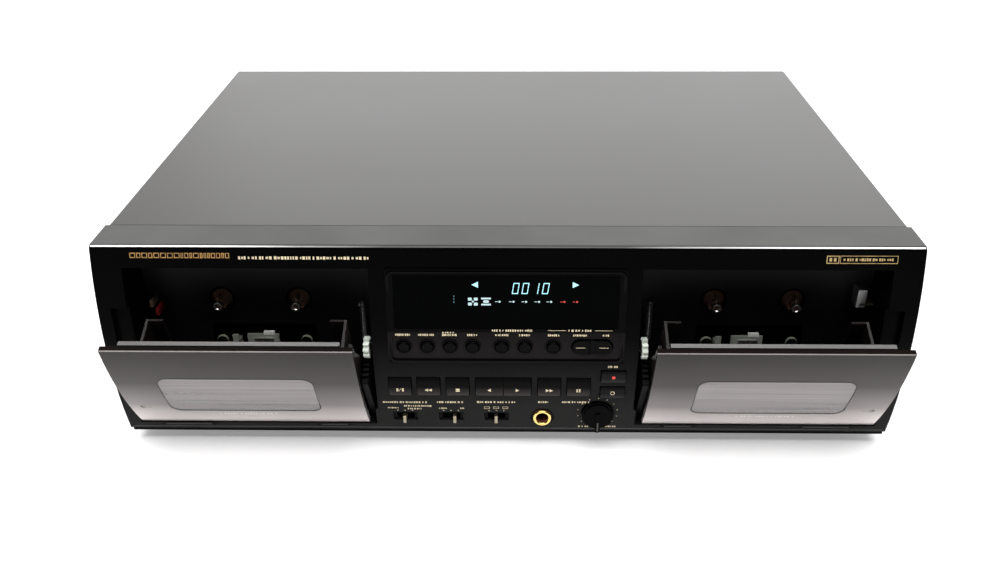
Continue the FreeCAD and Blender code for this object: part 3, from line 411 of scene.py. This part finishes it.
def disc(x, z, radius, steps=20):
    return arc(x, z, radius, 0, 360 - 360 / steps, steps - 1)


def rounded_bar(x0, x1, z0, z1, r, steps=6):
    return (arc(x1 - r, z1 - r, r, 0, 90, steps) + arc(x0 + r, z1 - r, r, 90, 180, steps)
            + arc(x0 + r, z0 + r, r, 180, 270, steps) + arc(x1 - r, z0 + r, r, 270, 360, steps))


def frame_bars(x0, x1, z0, z1, line):
    """Four bars that make a rectangular frame."""
    return [bar(x0, x1, z1 - line, z1), bar(x0, x1, z0, z0 + line),
            bar(x0, x0 + line, z0 + line, z1 - line), bar(x1 - line, x1, z0 + line, z1 - line)]


def slanted(outline, z0, lean=0.16):
    """An outline that leans to the right above z0."""
    return [(x + (z - z0) * lean, z) for x, z in outline]


def tube(name, points, radius, look, body, sides):
    """A round wire along points, as a closed mesh."""
    verts, faces = [], []
    n = len(points)
    for i, p in enumerate(points):
        ahead = (points[min(i + 1, n - 1)] - points[max(i - 1, 0)]).normalized()
        side = ahead.cross(Vector((0.31, 0.2, 0.93))).normalized()
        up = ahead.cross(side)
        for k in range(sides):
            a = 2 * math.pi * k / sides
            verts.append(p + (side * math.cos(a) + up * math.sin(a)) * radius)
    for i in range(n - 1):
        for k in range(sides):
            m = (k + 1) % sides
            faces.append((i * sides + k, i * sides + m, (i + 1) * sides + m, (i + 1) * sides + k))
    faces.append(tuple(range(sides)))
    faces.append(tuple(range((n - 1) * sides, n * sides)))
    return piece(name, verts, faces, look, body)


# ---- printed marks -----------------------------------------------------------------------------
def marks(name, outlines, look, proud=0.0):
    """Printed outlines that follow the convex face."""
    verts, faces = prisms(outlines, lambda x, z: (x, face_y(z, proud + MARK_LIFT), z),
                          lambda x, z: (x, face_y(z, proud - MARK_DEPTH), z))
    return piece(name, verts, faces, look, "chassis", smooth=False)


def caption(x0, x1, distance, height, seed, wide=0.95, gap=0.5):
    """A row of small plain bars of uneven width that stands for a printed caption, in millimetres."""
    draw = random.Random(seed)
    out, x = [], x0
    while x < x1 - 0.3:
        w = min(wide * draw.uniform(0.55, 1.15), x1 - x)
        tall = height * draw.choice((1.0, 1.0, 0.72))
        out.append(bar(x * MM, (x + w) * MM, below(distance + tall / 2), below(distance - tall / 2)))
        x += w + gap * draw.choice((0.8, 1.0, 2.0))
    return out


def printed_captions():
    """Captions round the keys, switches, jack and knob, and boxes over a switch's positions."""
    rows = [(-66.6, -42.6, 92.7), (-37.2, -23.0, 92.5), (-15.4, 6.3, 92.3), (17.7, 23.1, 92.1),
            (30.6, 45.8, 92.0), (54.1, 59.3, 67.2), (40.2, 45.7, 111.4), (55.1, 61.2, 111.3)]
    small_rows = [(-64.2, -58.0, 97.0), (-55.3, -48.6, 95.5), (-53.3, -45.6, 97.6),
                  (-48.0, -40.0, 95.5), (-36.2, -32.0, 97.2), (-24.6, -22.6, 97.2)]
    out = []
    for i, (x0, x1, distance) in enumerate(rows):
        out += caption(x0, x1, distance, 1.25, 20 + i)
    for i, (x0, x1, distance) in enumerate(small_rows):
        out += caption(x0, x1, distance, 1.1, 40 + i, wide=0.7, gap=0.35)
    for x in (-11.4, -6.4, -1.4):
        out += frame_bars((x - 0.2) * MM, (x + 2.8) * MM, below(97.4), below(95.8), 0.22 * MM)
    marks("captions", out, PRINT_CREAM)


def printed_dots():
    """Dots over the switches' positions and round the knob."""
    out = [disc((x + step) * MM, below(98.9), 0.33 * MM, 10) for x in SWITCHES_X.values()
           for step in (-SWITCH_STEP, 0.0, SWITCH_STEP)]
    knob = centre("mix_knob")
    ring = 10.9 * MM
    for step in range(11):
        a = math.radians(-130 + 26 * step + 90)
        x, z = knob.x + ring * math.cos(a), below(KNOB_DROP) + ring * math.sin(a)
        out.append(disc(x, z, 0.28 * MM, 8))
    marks("position_dots", out, PRINT_CREAM)


def brand_bars():
    """Abstract band of gold blocks at the panel's upper left, and a cream line beside it."""
    out = []
    draw = random.Random(5)
    x = -189.7
    while x < -140.5:
        w = draw.choice((1.3, 2.1, 2.9))
        out += frame_bars(x * MM, (x + w) * MM, below(6.3), below(3.7), 0.42 * MM)
        x += w + 0.55
    marks("gold_band", out, BAND_GOLD)
    marks("model_line", caption(-134.6, -68.2, 6.1, 1.5, 9, wide=1.2, gap=0.6), PRINT_CREAM)


def badge():
    """Two outlined boxes at the panel's upper right."""
    x0, x1, x2 = 160.6 * MM, 167.3 * MM, 196.0 * MM
    z0, z1 = below(8.1), below(4.2)
    line = 0.22 * MM
    out = frame_bars(x0, x1 - 0.5 * MM, z0, z1, line * 1.5) + frame_bars(x1, x2, z0, z1, line)
    mid = (x0 + x1 - 0.5 * MM) / 2
    out += [bar(mid - 1.7 * MM, mid - 0.5 * MM, z0 + 1.1 * MM, z1 - 1.1 * MM),
            bar(mid + 0.5 * MM, mid + 1.7 * MM, z0 + 1.1 * MM, z1 - 1.1 * MM)]
    out += caption(169.0, 194.6, 6.15, 1.35, 12)
    marks("badge_boxes", out, PRINT_GOLD)


def strip_captions():
    """Captions over the round buttons."""
    out = []
    spans = [(-57.0, -48.9), (-45.1, -36.9), (-32.6, -25.0), (-19.6, -14.2), (-5.1, 1.9), (7.2, 12.8),
             (22.2, 28.2), (35.2, 42.7), (50.4, 53.8)]
    for i, (x0, x1) in enumerate(spans):
        out += caption(x0, x1, 47.4, 1.15, 60 + i, wide=0.75, gap=0.34)
    out += caption(-32.6, -26.0, 45.8, 1.1, 70, wide=0.75, gap=0.34)
    marks("strip_captions", out, PRINT_CREAM, proud=BEZEL_PROUD - STRIP_RECESS)
    upper = caption(-6.8, 13.9, 44.5, 1.15, 71) + caption(32.6, 44.6, 44.4, 1.15, 72)
    upper += [bar(x0 * MM, x1 * MM, below(44.5), below(44.3)) for x0, x1 in ((22.0, 31.4), (46.2, 55.2))]
    marks("group_captions", upper, PRINT_CREAM, proud=BEZEL_PROUD)


# ---- display ----------------------------------------------------------------------------------------
SEGMENTS = {"0": "abcdef", "1": "bc"}


def digit(x, z, w, h, shape, line):
    """Slanted digit made of bars, its lower left corner at x, z."""
    mid, trim, right = z + h / 2, line * 0.18, x + w - line
    bars = {
        "a": bar(x + trim, x + w - trim, z + h - line, z + h),
        "b": bar(right, x + w, mid + trim, z + h - trim),
        "c": bar(right, x + w, z + trim, mid - trim),
        "d": bar(x + trim, x + w - trim, z, z + line),
        "e": bar(x, x + line, z + trim, mid - trim),
        "f": bar(x, x + line, mid + trim, z + h - trim),
    }
    return [slanted(bars[s], z) for s in SEGMENTS[shape]]


def glow_marks(name, outlines, look):
    marks(name, outlines, look, proud=WINDOW_PROUD)


def level_mark(x, reach):
    """A dot and the dash at its left."""
    return [bar((x - reach) * MM, (x - 0.9) * MM, below(28.5), below(28.2)),
            disc(x * MM, below(28.35), 0.55 * MM, 10)]


def counter():
    """Four digits and the arrowheads at both sides of them."""
    out = []
    for x, shape in ((3.4, "0"), (8.3, "0"), (13.5, "1"), (18.6, "0")):
        out += digit(x * MM, below(24.1), 3.1 * MM, 5.8 * MM, shape, 0.4 * MM)
    out += [[(-17.0 * MM, below(19.3)), (-13.7 * MM, below(17.7)), (-13.7 * MM, below(20.9))],
            [(37.4 * MM, below(19.3)), (34.2 * MM, below(20.8)), (34.2 * MM, below(17.8))]]
    glow_marks("counter_glow", out, GLOW_CYAN)


def levels():
    """Deck signs, level scales and channel marks under the counter."""
    out = []
    for x in (-18.9, -15.9):                                   # square of four blobs and a middle dot
        for drop in (26.2, 28.9):
            out.append(rounded_bar(x * MM, (x + 2.0) * MM, below(drop + 1.6), below(drop), 0.4 * MM, 3))
    out.append(disc(-16.4 * MM, below(28.3), 0.55 * MM, 10))
    for drop in (26.2, 29.5):                                  # two bars and a lens
        out.append(rounded_bar(-12.2 * MM, -7.2 * MM, below(drop + 0.9), below(drop), 0.3 * MM, 3))
    out.append(rounded_bar(-11.2 * MM, -8.2 * MM, below(29.0), below(27.6), 0.65 * MM, 4))
    for x in (-2.8, 4.3, 10.7, 17.3, 23.4):
        out += level_mark(x, 2.3)
    glow_marks("level_glow", out, GLOW_WHITE)
    glow_marks("overload_glow", level_mark(30.2, 2.2) + level_mark(36.6, 2.2), GLOW_RED)
    channels = [bar(-26.3 * MM, -25.8 * MM, below(drop + 0.9), below(drop)) for drop in (25.0, 26.6, 28.2)]
    glow_marks("channel_glow", channels, GLOW_DIM)


def display_lip():
    """Raised lip round the whole bezel, one rounded bead."""
    lo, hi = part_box("control_bezel")
    inset, width, rise, corner, sink = 0.5 * MM, 1.7 * MM, 0.7 * MM, 3.2 * MM, 0.2 * MM
    edge = inset + width
    outer = rounded_bar(lo.x + inset, hi.x - inset, lo.z + inset, hi.z - inset, corner)
    inner = rounded_bar(lo.x + edge, hi.x - edge, lo.z + edge, hi.z - edge, corner - width * 0.6)
    verts, faces = [], []
    rings = ((0.0, -sink), (0.12, rise * 0.7), (0.35, rise), (0.65, rise), (0.88, rise * 0.7), (1.0, -sink))
    n = len(outer)
    for share, proud in rings:
        for (ox, oz), (ix, iz) in zip(outer, inner):
            x, z = ox + (ix - ox) * share, oz + (iz - oz) * share
            verts.append((x, face_y(z, BEZEL_PROUD + proud), z))
    for k in range(len(rings)):
        m = (k + 1) % len(rings)
        for i in range(n):
            j = (i + 1) % n
            faces.append((k * n + i, k * n + j, m * n + j, m * n + i))
    piece("display_lip", verts, faces, LIP_GLOSS, "chassis")


# ---- keys, buttons, knob ----------------------------------------------------------------------------
def key_symbol(kind, x, z, s):
    """Outlines of a tape symbol centred at x, z; s is half its height."""
    left = lambda cx: [(cx - s, z), (cx + s * 0.8, z + s), (cx + s * 0.8, z - s)]
    right = lambda cx: [(cx + s, z), (cx - s * 0.8, z - s), (cx - s * 0.8, z + s)]
    return {
        "key_deck_select": [bar(x - 1.9 * s, x - 0.9 * s, z - s, z + s),
                            bar(x + 0.9 * s, x + 1.9 * s, z - s, z + s),
                            slanted(bar(x - 0.25 * s, x + 0.05 * s, z - s, z + s), z, 0.5)],
        "key_rewind": [left(x - 1.0 * s), left(x + 0.9 * s)],
        "key_stop": [bar(x - s, x + s, z - s, z + s)],
        "key_play_reverse": [left(x)],
        "key_play_forward": [right(x)],
        "key_fast_forward": [right(x - 0.9 * s), right(x + 1.0 * s)],
        "key_pause": [bar(x - s, x - 0.25 * s, z - s, z + s), bar(x + 0.25 * s, x + s, z - s, z + s)],
    }.get(kind)


def key_face(node):
    """Function that gives the front of a key's crowned face at a height."""
    lo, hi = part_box(node)
    height = hi.z - lo.z - 2 * 1.2 * MM
    mid_z = (lo.z + hi.z) / 2
    crown_r = KEY_CROWN * height
    crown_y = face_y(mid_z) - KEY_PROUD + crown_r
    return lambda z, lift=0.0: crown_y - math.sqrt((crown_r + lift) ** 2 - (z - mid_z) ** 2)


def key_marks():
    """Tape symbols on the transport keys, a red dot and a broken ring on the recording keys."""
    for node in KEYS:
        lo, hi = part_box(node)
        x, z = (lo.x + hi.x) / 2, (lo.z + hi.z) / 2
        surface = key_face(node)
        look = PRINT_CREAM
        outlines = key_symbol(node, x, z - 1.6 * MM, 1.05 * MM)
        if node == "key_record":
            outlines, look = [disc(x, z, 0.95 * MM, 18)], PRINT_RED_PAINTED_GLOW
        elif node == "key_record_mute":
            outlines = [arc(x, z, 1.15 * MM, a, a + 60, 4) + arc(x, z, 0.85 * MM, a + 60, a, 4)
                        for a in range(0, 360, 60)]
        verts, faces = prisms(outlines, lambda px, pz: (px, surface(pz, MARK_LIFT), pz),
                              lambda px, pz: (px, surface(pz, -MARK_DEPTH), pz))
        piece(node + "_symbol", verts, faces, look, node, smooth=False)


def button_collars():
    """Dark rounded collar round each button's hole, and a rim on each button."""
    collar = [(3.62 * MM, 0.3 * MM), (3.62 * MM, -0.25 * MM), (3.85 * MM, -0.45 * MM),
              (4.25 * MM, -0.35 * MM), (4.45 * MM, 0.3 * MM)]
    rim = [(2.2 * MM, 0.1 * MM), (2.2 * MM, -0.12 * MM), (2.4 * MM, -0.22 * MM), (2.62 * MM, -0.1 * MM),
           (2.62 * MM, 0.1 * MM)]
    for node in BUTTONS:
        mid = centre(node)
        at = Vector((mid.x, face_y(mid.z, BEZEL_PROUD - STRIP_RECESS), mid.z))
        turned_piece(node + "_collar", collar, at, STRIP_PLASTIC, "chassis")
        turned_piece(node + "_rim", rim, front_of(node), BUTTON_PLASTIC, node)


def rocker_lines():
    """A printed dash at each end of the rocker."""
    lo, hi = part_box("level_rocker")
    mid = (lo + hi) / 2
    for name, s in (("minus", -1), ("plus", 1)):
        x = mid.x + s * 6.0 * MM
        outlines = [bar(x - 2.4 * MM, x + 2.4 * MM, mid.z - 0.12 * MM, mid.z + 0.12 * MM)]
        flat_piece("rocker_line_" + name, outlines, lo.y - MARK_LIFT, lo.y + MARK_DEPTH, PRINT_CREAM,
                   "level_rocker", smooth=False)


def knob_pointer():
    """Grey strip at the end of the knob's pointer, a painted highlight."""
    lo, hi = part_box("mix_knob")
    x = (lo.x + hi.x) / 2
    outline = rounded_bar(x - 0.4 * MM, x + 0.4 * MM, lo.z + 0.8 * MM, lo.z + 6.6 * MM, 0.38 * MM, 4)
    flat_piece("knob_pointer", [outline], lo.y - 0.18 * MM, lo.y + 0.2 * MM, KNOB_PAINTED_HIGHLIGHT, "mix_knob")


def mic_ring():
    """Gold lip of the microphone jack."""
    bore, lip = 3.3 * MM, 5.0 * MM
    mid_r = (bore + lip) / 2
    thick = (lip - bore) / 2
    profile = [(mid_r + thick * math.cos(a), thick * 0.9 * math.sin(a) - 0.2 * MM)
               for a in (2 * math.pi * i / 14 for i in range(14))]
    at = Vector((centre("mic_jack").x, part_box("mic_jack")[0].y, below(JACK_DROP)))
    turned_piece("mic_ring", profile, at, GOLD, "chassis", steps=56)


def switch_bezels():
    """Dark plates at both ends of each slide switch's slot."""
    z = below(SWITCH_DROP)
    y = face_y(z) + 3.4 * MM
    half_h, near, far = 3.1 * MM, 4.9 * MM, 6.5 * MM
    for node, x in SWITCHES_X.items():
        for name, x0, x1 in (("left", x * MM - far, x * MM - near), ("right", x * MM + near, x * MM + far)):
            outline = rounded_bar(x0, x1, z - half_h, z + half_h, 0.3 * MM, 3)
            flat_piece(node + "_slot_" + name, [outline], y - 1.6 * MM, y + 1.0 * MM, STRIP_PLASTIC,
                       "chassis")


def edge_line():
    """Painted highlight: a bright line along the rounded top edge of the panel."""
    fillet = 3.0 * MM
    z = TOP - fillet
    y = FACE_LINE + FACE_RADIUS - math.sqrt((FACE_RADIUS - fillet) ** 2 - (z - FACE_AXIS_Z) ** 2)
    first, last, steps = 119, 136, 6
    verts, faces = [], []
    for x in (PANEL_LO.x + 0.6 * MM, PANEL_HI.x - 0.6 * MM):
        for r in (fillet + MARK_LIFT, fillet - MARK_DEPTH):
            for i in range(steps + 1):
                a = math.radians(first + (last - first) * i / steps)
                verts.append((x, y + r * math.cos(a), z + r * math.sin(a)))
    n = steps + 1
    loop = list(range(n)) + list(range(2 * n - 1, n - 1, -1))
    faces.append(tuple(loop))
    faces.append(tuple(2 * n + i for i in reversed(loop)))
    for i in range(2 * n):
        j = (i + 1) % (2 * n)
        faces.append((loop[i], 2 * n + loop[i], 2 * n + loop[j], loop[j]))
    piece("panel_top_edge_highlight", verts, faces, EDGE_PAINTED_HIGHLIGHT, "chassis")


def lower_lip():
    """Return lip under the panel's lower edge, light lines low on the face that are painted highlights, and
    the hinge slots' ends.
    """
    z0, z1 = PANEL_LO.z - 1.9 * MM, PANEL_LO.z + 0.1 * MM
    y0 = face_y(PANEL_LO.z) + 0.9 * MM
    x0, x1 = PANEL_LO.x + 0.8 * MM, PANEL_HI.x - 0.8 * MM
    flat_piece("panel_lower_lip", [rounded_bar(x0, x1, z0, z1, 0.6 * MM, 3)], y0, y0 + 14 * MM, LIP_GLOSS,
               "chassis")
    # Painted highlights: light lines along the panel's lower edge and along each hinge slot.
    lines = [bar(x0 + 1 * MM, x1 - 1 * MM, PANEL_LO.z + 1.7 * MM, PANEL_LO.z + 2.2 * MM)]
    slots = []
    end = 2.4 * MM
    for s in SIDES.values():
        for span in HINGE_SLOTS_X:
            left, right = sorted(s * x * MM for x in span)
            lines.append(bar(left + end, right - end, below(111.2), below(110.8)))
            slots += [bar(left, left + end, below(111.5), below(110.4)),
                      bar(right - end, right, below(111.5), below(110.4))]
    marks("panel_lower_painted_highlights", lines, RIM_PAINTED_HIGHLIGHT)
    marks("hinge_slot_marks", slots, LIP_GLOSS)


# ---- doors -----------------------------------------------------------------------------------------
OPEN_ANGLE = math.radians(HINGE_JOINT["range_deg"][1])
HINGE = Vector(HINGE_JOINT["pos_m"])


def opened(point):
    """A point of the closed door, turned to where the open door rests."""
    y, z = point[1] - HINGE.y, point[2] - HINGE.z
    c, s = math.cos(OPEN_ANGLE), math.sin(OPEN_ANGLE)
    return (point[0], HINGE.y + y * c - z * s, HINGE.z + y * s + z * c)


def door_piece(side, name, outlines, front_depth, back_depth, look):
    """Prisms on the door between two depths behind its face, from closed X, Z outlines."""
    s = SIDES[side]
    verts, faces = prisms([[(s * x, z) for x, z in o] for o in outlines],
                          lambda x, z: opened((x, face_y(z, -front_depth), z)),
                          lambda x, z: opened((x, face_y(z, -back_depth), z)))
    return piece(side + "_" + name, verts, faces, look, side + "_door", smooth=False)


def ring_outline(outer, inner):
    """Quads between two outlines with the same number of points."""
    n = len(outer)
    return [[outer[i], outer[(i + 1) % n], inner[(i + 1) % n], inner[i]] for i in range(n)]


def door_details(side):
    """Painted highlight along the door's top, smoked top edge, window surround, printed row and push mark.
    """
    x0, x1 = (x * MM for x in DOOR_X)
    top = below(DOOR_TOP_DROP)
    door_piece(side, "door_edge", [bar(x0 + 0.1 * MM, x1 - 0.1 * MM, top + 0.02 * MM, top + 0.14 * MM)],
               0.35 * MM, DOOR_THICK - 0.1 * MM, DOOR_EDGE)
    # Painted highlight: a thin light strip along the front of the door's top edge.
    door_piece(side, "door_top_edge_highlight", [bar(x0, x1, top - 0.35 * MM, top + 0.16 * MM)], -0.05 * MM, 0.3 * MM,
               DOOR_TOP_PAINTED_HIGHLIGHT)
    wx0, wx1 = (x * MM for x in WINDOW_X)
    wz1, wz0 = (below(drop) for drop in WINDOW_DROPS)
    out, inn = 0.2 * MM, 0.5 * MM
    outer = rounded_bar(wx0 - out, wx1 + out, wz0 - out, wz1 + out, 6.2 * MM, 8)
    inner = rounded_bar(wx0 + inn, wx1 - inn, wz0 + inn, wz1 - inn, 5.5 * MM, 8)
    door_piece(side, "window_surround", ring_outline(outer, inner), -0.06 * MM, 0.5 * MM, PANE_EDGE)
    mid = (wx0 + wx1) / 2
    row = caption(mid / MM - 16.0, mid / MM + 16.0, 94.9, 1.25, 80, wide=0.9, gap=0.9)
    door_piece(side, "door_print", row, -MARK_LIFT, MARK_DEPTH, PRINT_PALE)
    push = [[(-197.4 * MM, below(86.6)), (-195.2 * MM, below(84.4)), (-195.2 * MM, below(88.6))],
            bar(-194.6 * MM, -194.2 * MM, below(88.2), below(85.0)),
            bar(-193.4 * MM, -190.4 * MM, below(87.2), below(86.8))]
    door_piece(side, "push_mark", push, -MARK_LIFT, MARK_DEPTH, PRINT_FAINT)


# ---- inside the wells ---------------------------------------------------------------------------
def spindle_details(side, place):
    """Tip of a reel spindle, rim of its hole, and the collar and tip of the capstan beside it."""
    name = side + "_" + place
    reel, capstan = name + "_reel_spindle", name + "_capstan"
    tip = [(1.35 * MM, 2.6 * MM), (1.35 * MM, -0.05 * MM), (1.55 * MM, -0.25 * MM), (2.1 * MM, -0.25 * MM),
           (2.42 * MM, 0.0), (2.45 * MM, 2.2 * MM)]
    turned_piece(name + "_reel_tip", tip, front_of(reel), CHROME, name + "_reel")
    rim = [(6.2 * MM, 0.9 * MM), (6.2 * MM, -0.35 * MM), (6.45 * MM, -0.6 * MM), (7.0 * MM, -0.55 * MM),
           (7.3 * MM, 0.1 * MM), (7.3 * MM, 0.9 * MM)]
    mid = centre(reel)
    at = Vector((mid.x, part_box("mech_frames")[0].y, mid.z))
    turned_piece(name + "_reel_rim", rim, at, WELL_PLASTIC, "chassis")
    collar = [(1.3 * MM, 1.9 * MM), (1.3 * MM, 0.0), (2.9 * MM, 0.0), (3.05 * MM, 0.25 * MM),
              (3.05 * MM, 1.7 * MM), (2.9 * MM, 1.9 * MM)]
    turned_piece(name + "_capstan_collar", collar, front_of(capstan, 4.1 * MM), COLLAR_GREEN, capstan)
    cap = solid_profile([(0.9 * MM, -0.35 * MM), (1.33 * MM, 0.1 * MM), (1.33 * MM, 1.4 * MM)])
    turned_piece(name + "_capstan_tip", cap, front_of(capstan), GOLD, capstan, steps=24)


def head_details(side):
    """Face, gap and bridge of the head, the same way round in both decks, and the rollers' rubber."""
    carriage = side + "_head_carriage"
    shift = 0 if side == "left" else 2 * DECK_X
    face = FACE_LINE + 25.2 * MM
    blocks = [("head_face", (-138.6, -128.0), (face, face + 1.0 * MM), (66.4, 73.5), CHROME),
              ("head_gap", (-133.2, -132.7), (face - 0.06 * MM, face + 0.5 * MM), (66.8, 73.0), PANE_EDGE),
              ("head_bridge", (-133.3, -127.5), (face + 0.8 * MM, face + 2.5 * MM), (62.6, 64.5),
               WHITE_PLASTIC)]
    for name, x, y, drops, look in blocks:
        outline = rounded_bar((x[0] + shift) * MM, (x[1] + shift) * MM, below(drops[1]), below(drops[0]),
                              0.25 * MM, 3)
        flat_piece(side + "_" + name, [outline], y[0], y[1], look, carriage)
    wheel = [(1.2 * MM, 0.0), (5.6 * MM, 0.0), (6.05 * MM, 0.5 * MM), (6.05 * MM, 6.0 * MM),
             (5.6 * MM, 6.4 * MM), (1.2 * MM, 6.4 * MM)]
    roller_z = below(CAPSTAN_DROP + CAPSTAN_RADIUS + ROLLER_RADIUS + ROLLER_GAP + CARRIAGE_LIFT)
    for i, x in enumerate(ROLLERS_X):
        at = Vector((SIDES[side] * x * MM, FACE_LINE + 26.95 * MM, roller_z))
        turned_piece(side + "_pinch_rubber_%d" % (i + 1), wheel, at, RUBBER, carriage)


def well_fittings():
    """Latch parts at the wells' outer edges, and a door switch at the left well's inner edge."""
    latch, switch = FACE_LINE + 20.0 * MM, FACE_LINE + 27.0 * MM
    deep, thin = 8.2 * MM, 1.2 * MM
    fittings = [
        ("right_latch_bracket", (185.2, 189.8), (31.6, 42.0), latch, deep, STEEL, "mech_steel"),
        ("right_latch_arm", (186.6, 194.2), (39.6, 40.7), latch, deep, NICKEL, "mech_steel"),
        ("left_latch_bracket", (-190.4, -188.6), (39.5, 43.5), latch, deep, BROWN_PLASTIC, "mech_steel"),
        ("left_latch_cap", (-188.2, -186.2), (44.5, 48.6), latch, deep, RED_DARK, "mech_steel"),
        ("left_door_switch", (-79.7, -77.1), (45.1, 46.5), switch, thin, WHITE_PLASTIC, "damper_plastic"),
    ]
    for name, x, drops, front, depth, look, slot in fittings:
        outline = rounded_bar(x[0] * MM, x[1] * MM, below(drops[1]), below(drops[0]), 0.3 * MM, 3)
        flat_piece(name, [outline], front, front + depth, look, "chassis")


def springs():
    """Coil springs in place of their plain outer tubes."""
    for side, s in SIDES.items():
        x, y = s * -77.4 * MM, FACE_LINE + 25.6 * MM
        z0, length, turns, radius = below(66.0), 24 * MM, 15, 1.45 * MM
        steps = 14 * turns
        points = []
        for i in range(steps + 1):
            a = 2 * math.pi * turns * i / steps
            points.append(Vector((x + radius * math.cos(a), y + radius * math.sin(a),
                                  z0 + length * i / steps)))
        coil = tube(side + "_spring_coil", points, 0.32 * MM, SPRING_WIRE, "chassis", sides=6)
        if side == "left":
            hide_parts("door_springs")


# ---- rear ---------------------------------------------------------------------------------------
def rear_details():
    """Coloured insulating rings round the four signal jacks, and a printed frame round them."""
    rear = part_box("rear_panel")[1].y
    ring = [(4.25 * MM, 0.0), (6.4 * MM, 0.0), (6.4 * MM, 0.7 * MM), (6.0 * MM, 1.1 * MM),
            (4.25 * MM, 1.1 * MM)]
    for x, look, name in ((-150.0, WHITE_PLASTIC, "left"), (-136.0, RED_PLASTIC, "right")):
        for z, row in ((62.0, "line_in"), (76.0, "line_out")):
            at = Vector((x * MM, rear, z * MM))
            turned_piece(row + "_" + name + "_ring", ring, at, look, "chassis")
    outlines = frame_bars(-162 * MM, -124 * MM, 50 * MM, 88 * MM, 0.35 * MM)
    flat_piece("rear_frame_print", outlines, rear + MARK_LIFT, rear - MARK_DEPTH, PRINT_CREAM, "chassis",
               smooth=False)


# ---- stage, lights, camera -------------------------------------------------------------------------
def stage():
    """White floor under the object."""
    floor_look = material("floor_white", (0.92, 0.92, 0.92), 0.6, specular=0.2, shade=0.01, bump=0.0,
                          glow=(1.0, 1.0, 1.0), glow_strength=0.26)
    half = 6.0
    mesh = bpy.data.meshes.new("floor")
    corners = [(-half, -half, 0), (half, -half, 0), (half, half, 0), (-half, half, 0)]
    mesh.from_pydata(corners, [], [(0, 1, 2, 3)])
    mesh.materials.append(floor_look)
    floor = bpy.data.objects.new("floor", mesh)
    bpy.context.scene.collection.objects.link(floor)


def area_light(name, at, aim, size, power):
    data = bpy.data.lights.new(name, "AREA")
    data.shape = "RECTANGLE"
    data.size, data.size_y = size
    data.energy = power
    made = bpy.data.objects.new(name, data)
    made.location = at
    made.rotation_euler = (Vector(aim) - Vector(at)).to_track_quat("-Z", "Y").to_euler()
    bpy.context.scene.collection.objects.link(made)


def world_light():
    """White room: bright behind and above, darker in front."""
    world = bpy.data.worlds.new("room")
    bpy.context.scene.world = world
    world.use_nodes = True
    nodes, links = world.node_tree.nodes, world.node_tree.links
    back = nodes["Background"]
    place = nodes.new("ShaderNodeTexCoord")
    split = nodes.new("ShaderNodeSeparateXYZ")
    links.new(place.outputs["Generated"], split.inputs["Vector"])
    depth = nodes.new("ShaderNodeMapRange")
    depth.interpolation_type = "SMOOTHSTEP"
    for socket, value in (("From Min", -0.2), ("From Max", 0.8), ("To Min", 0.03), ("To Max", 1.15)):
        depth.inputs[socket].default_value = value
    links.new(split.outputs["Y"], depth.inputs["Value"])
    path = nodes.new("ShaderNodeLightPath")
    seen = nodes.new("ShaderNodeMix")
    links.new(path.outputs["Is Camera Ray"], seen.inputs["Factor"])
    links.new(depth.outputs["Result"], seen.inputs["A"])
    seen.inputs["B"].default_value = 1.1
    links.new(seen.outputs["Result"], back.inputs["Strength"])
    back.inputs["Color"].default_value = (1.0, 1.0, 1.0, 1.0)


def lights():
    """Soft light from above, a weak fill from the front and one from behind."""
    area_light("top_soft", (0.0, -0.55, 1.7), (0, -0.25, 0.0), (2.2, 1.3), 58)
    area_light("front_fill", (0.0, -2.2, 0.35), (0, -0.2, 0.0), (2.6, 0.5), 5)
    area_light("back_soft", (0.2, 2.4, 1.0), (0, 0, 0.1), (2.6, 1.0), 9)


def camera():
    """Camera in front of the object, looking down at it."""
    data = bpy.data.cameras.new("camera")
    data.lens, data.sensor_width = 34.99, 36.0
    data.clip_start, data.clip_end = 0.01, 50
    made = bpy.data.objects.new("camera", data)
    right, up = Vector((0.99987, 0.01642, -0.00524)), Vector((-0.00342, 0.48683, 0.87346))
    turn = Matrix((right, up, right.cross(up))).transposed().to_4x4()
    made.matrix_world = Matrix.Translation((0.005743, -0.568979, 0.346809)) @ turn
    bpy.context.scene.collection.objects.link(made)
    bpy.context.scene.camera = made


printed_captions()
printed_dots()
brand_bars()
badge()
strip_captions()
counter()
levels()
display_lip()
key_marks()
button_collars()
rocker_lines()
knob_pointer()
mic_ring()
switch_bezels()
edge_line()
lower_lip()
for deck_side in SIDES:
    door_details(deck_side)
    spindle_details(deck_side, "outer")
    spindle_details(deck_side, "inner")
    head_details(deck_side)
well_fittings()
springs()
rear_details()
stage()
world_light()
lights()
camera()
bpy.context.scene.view_settings.view_transform = "Standard"
bpy.context.scene.view_settings.look = "None"
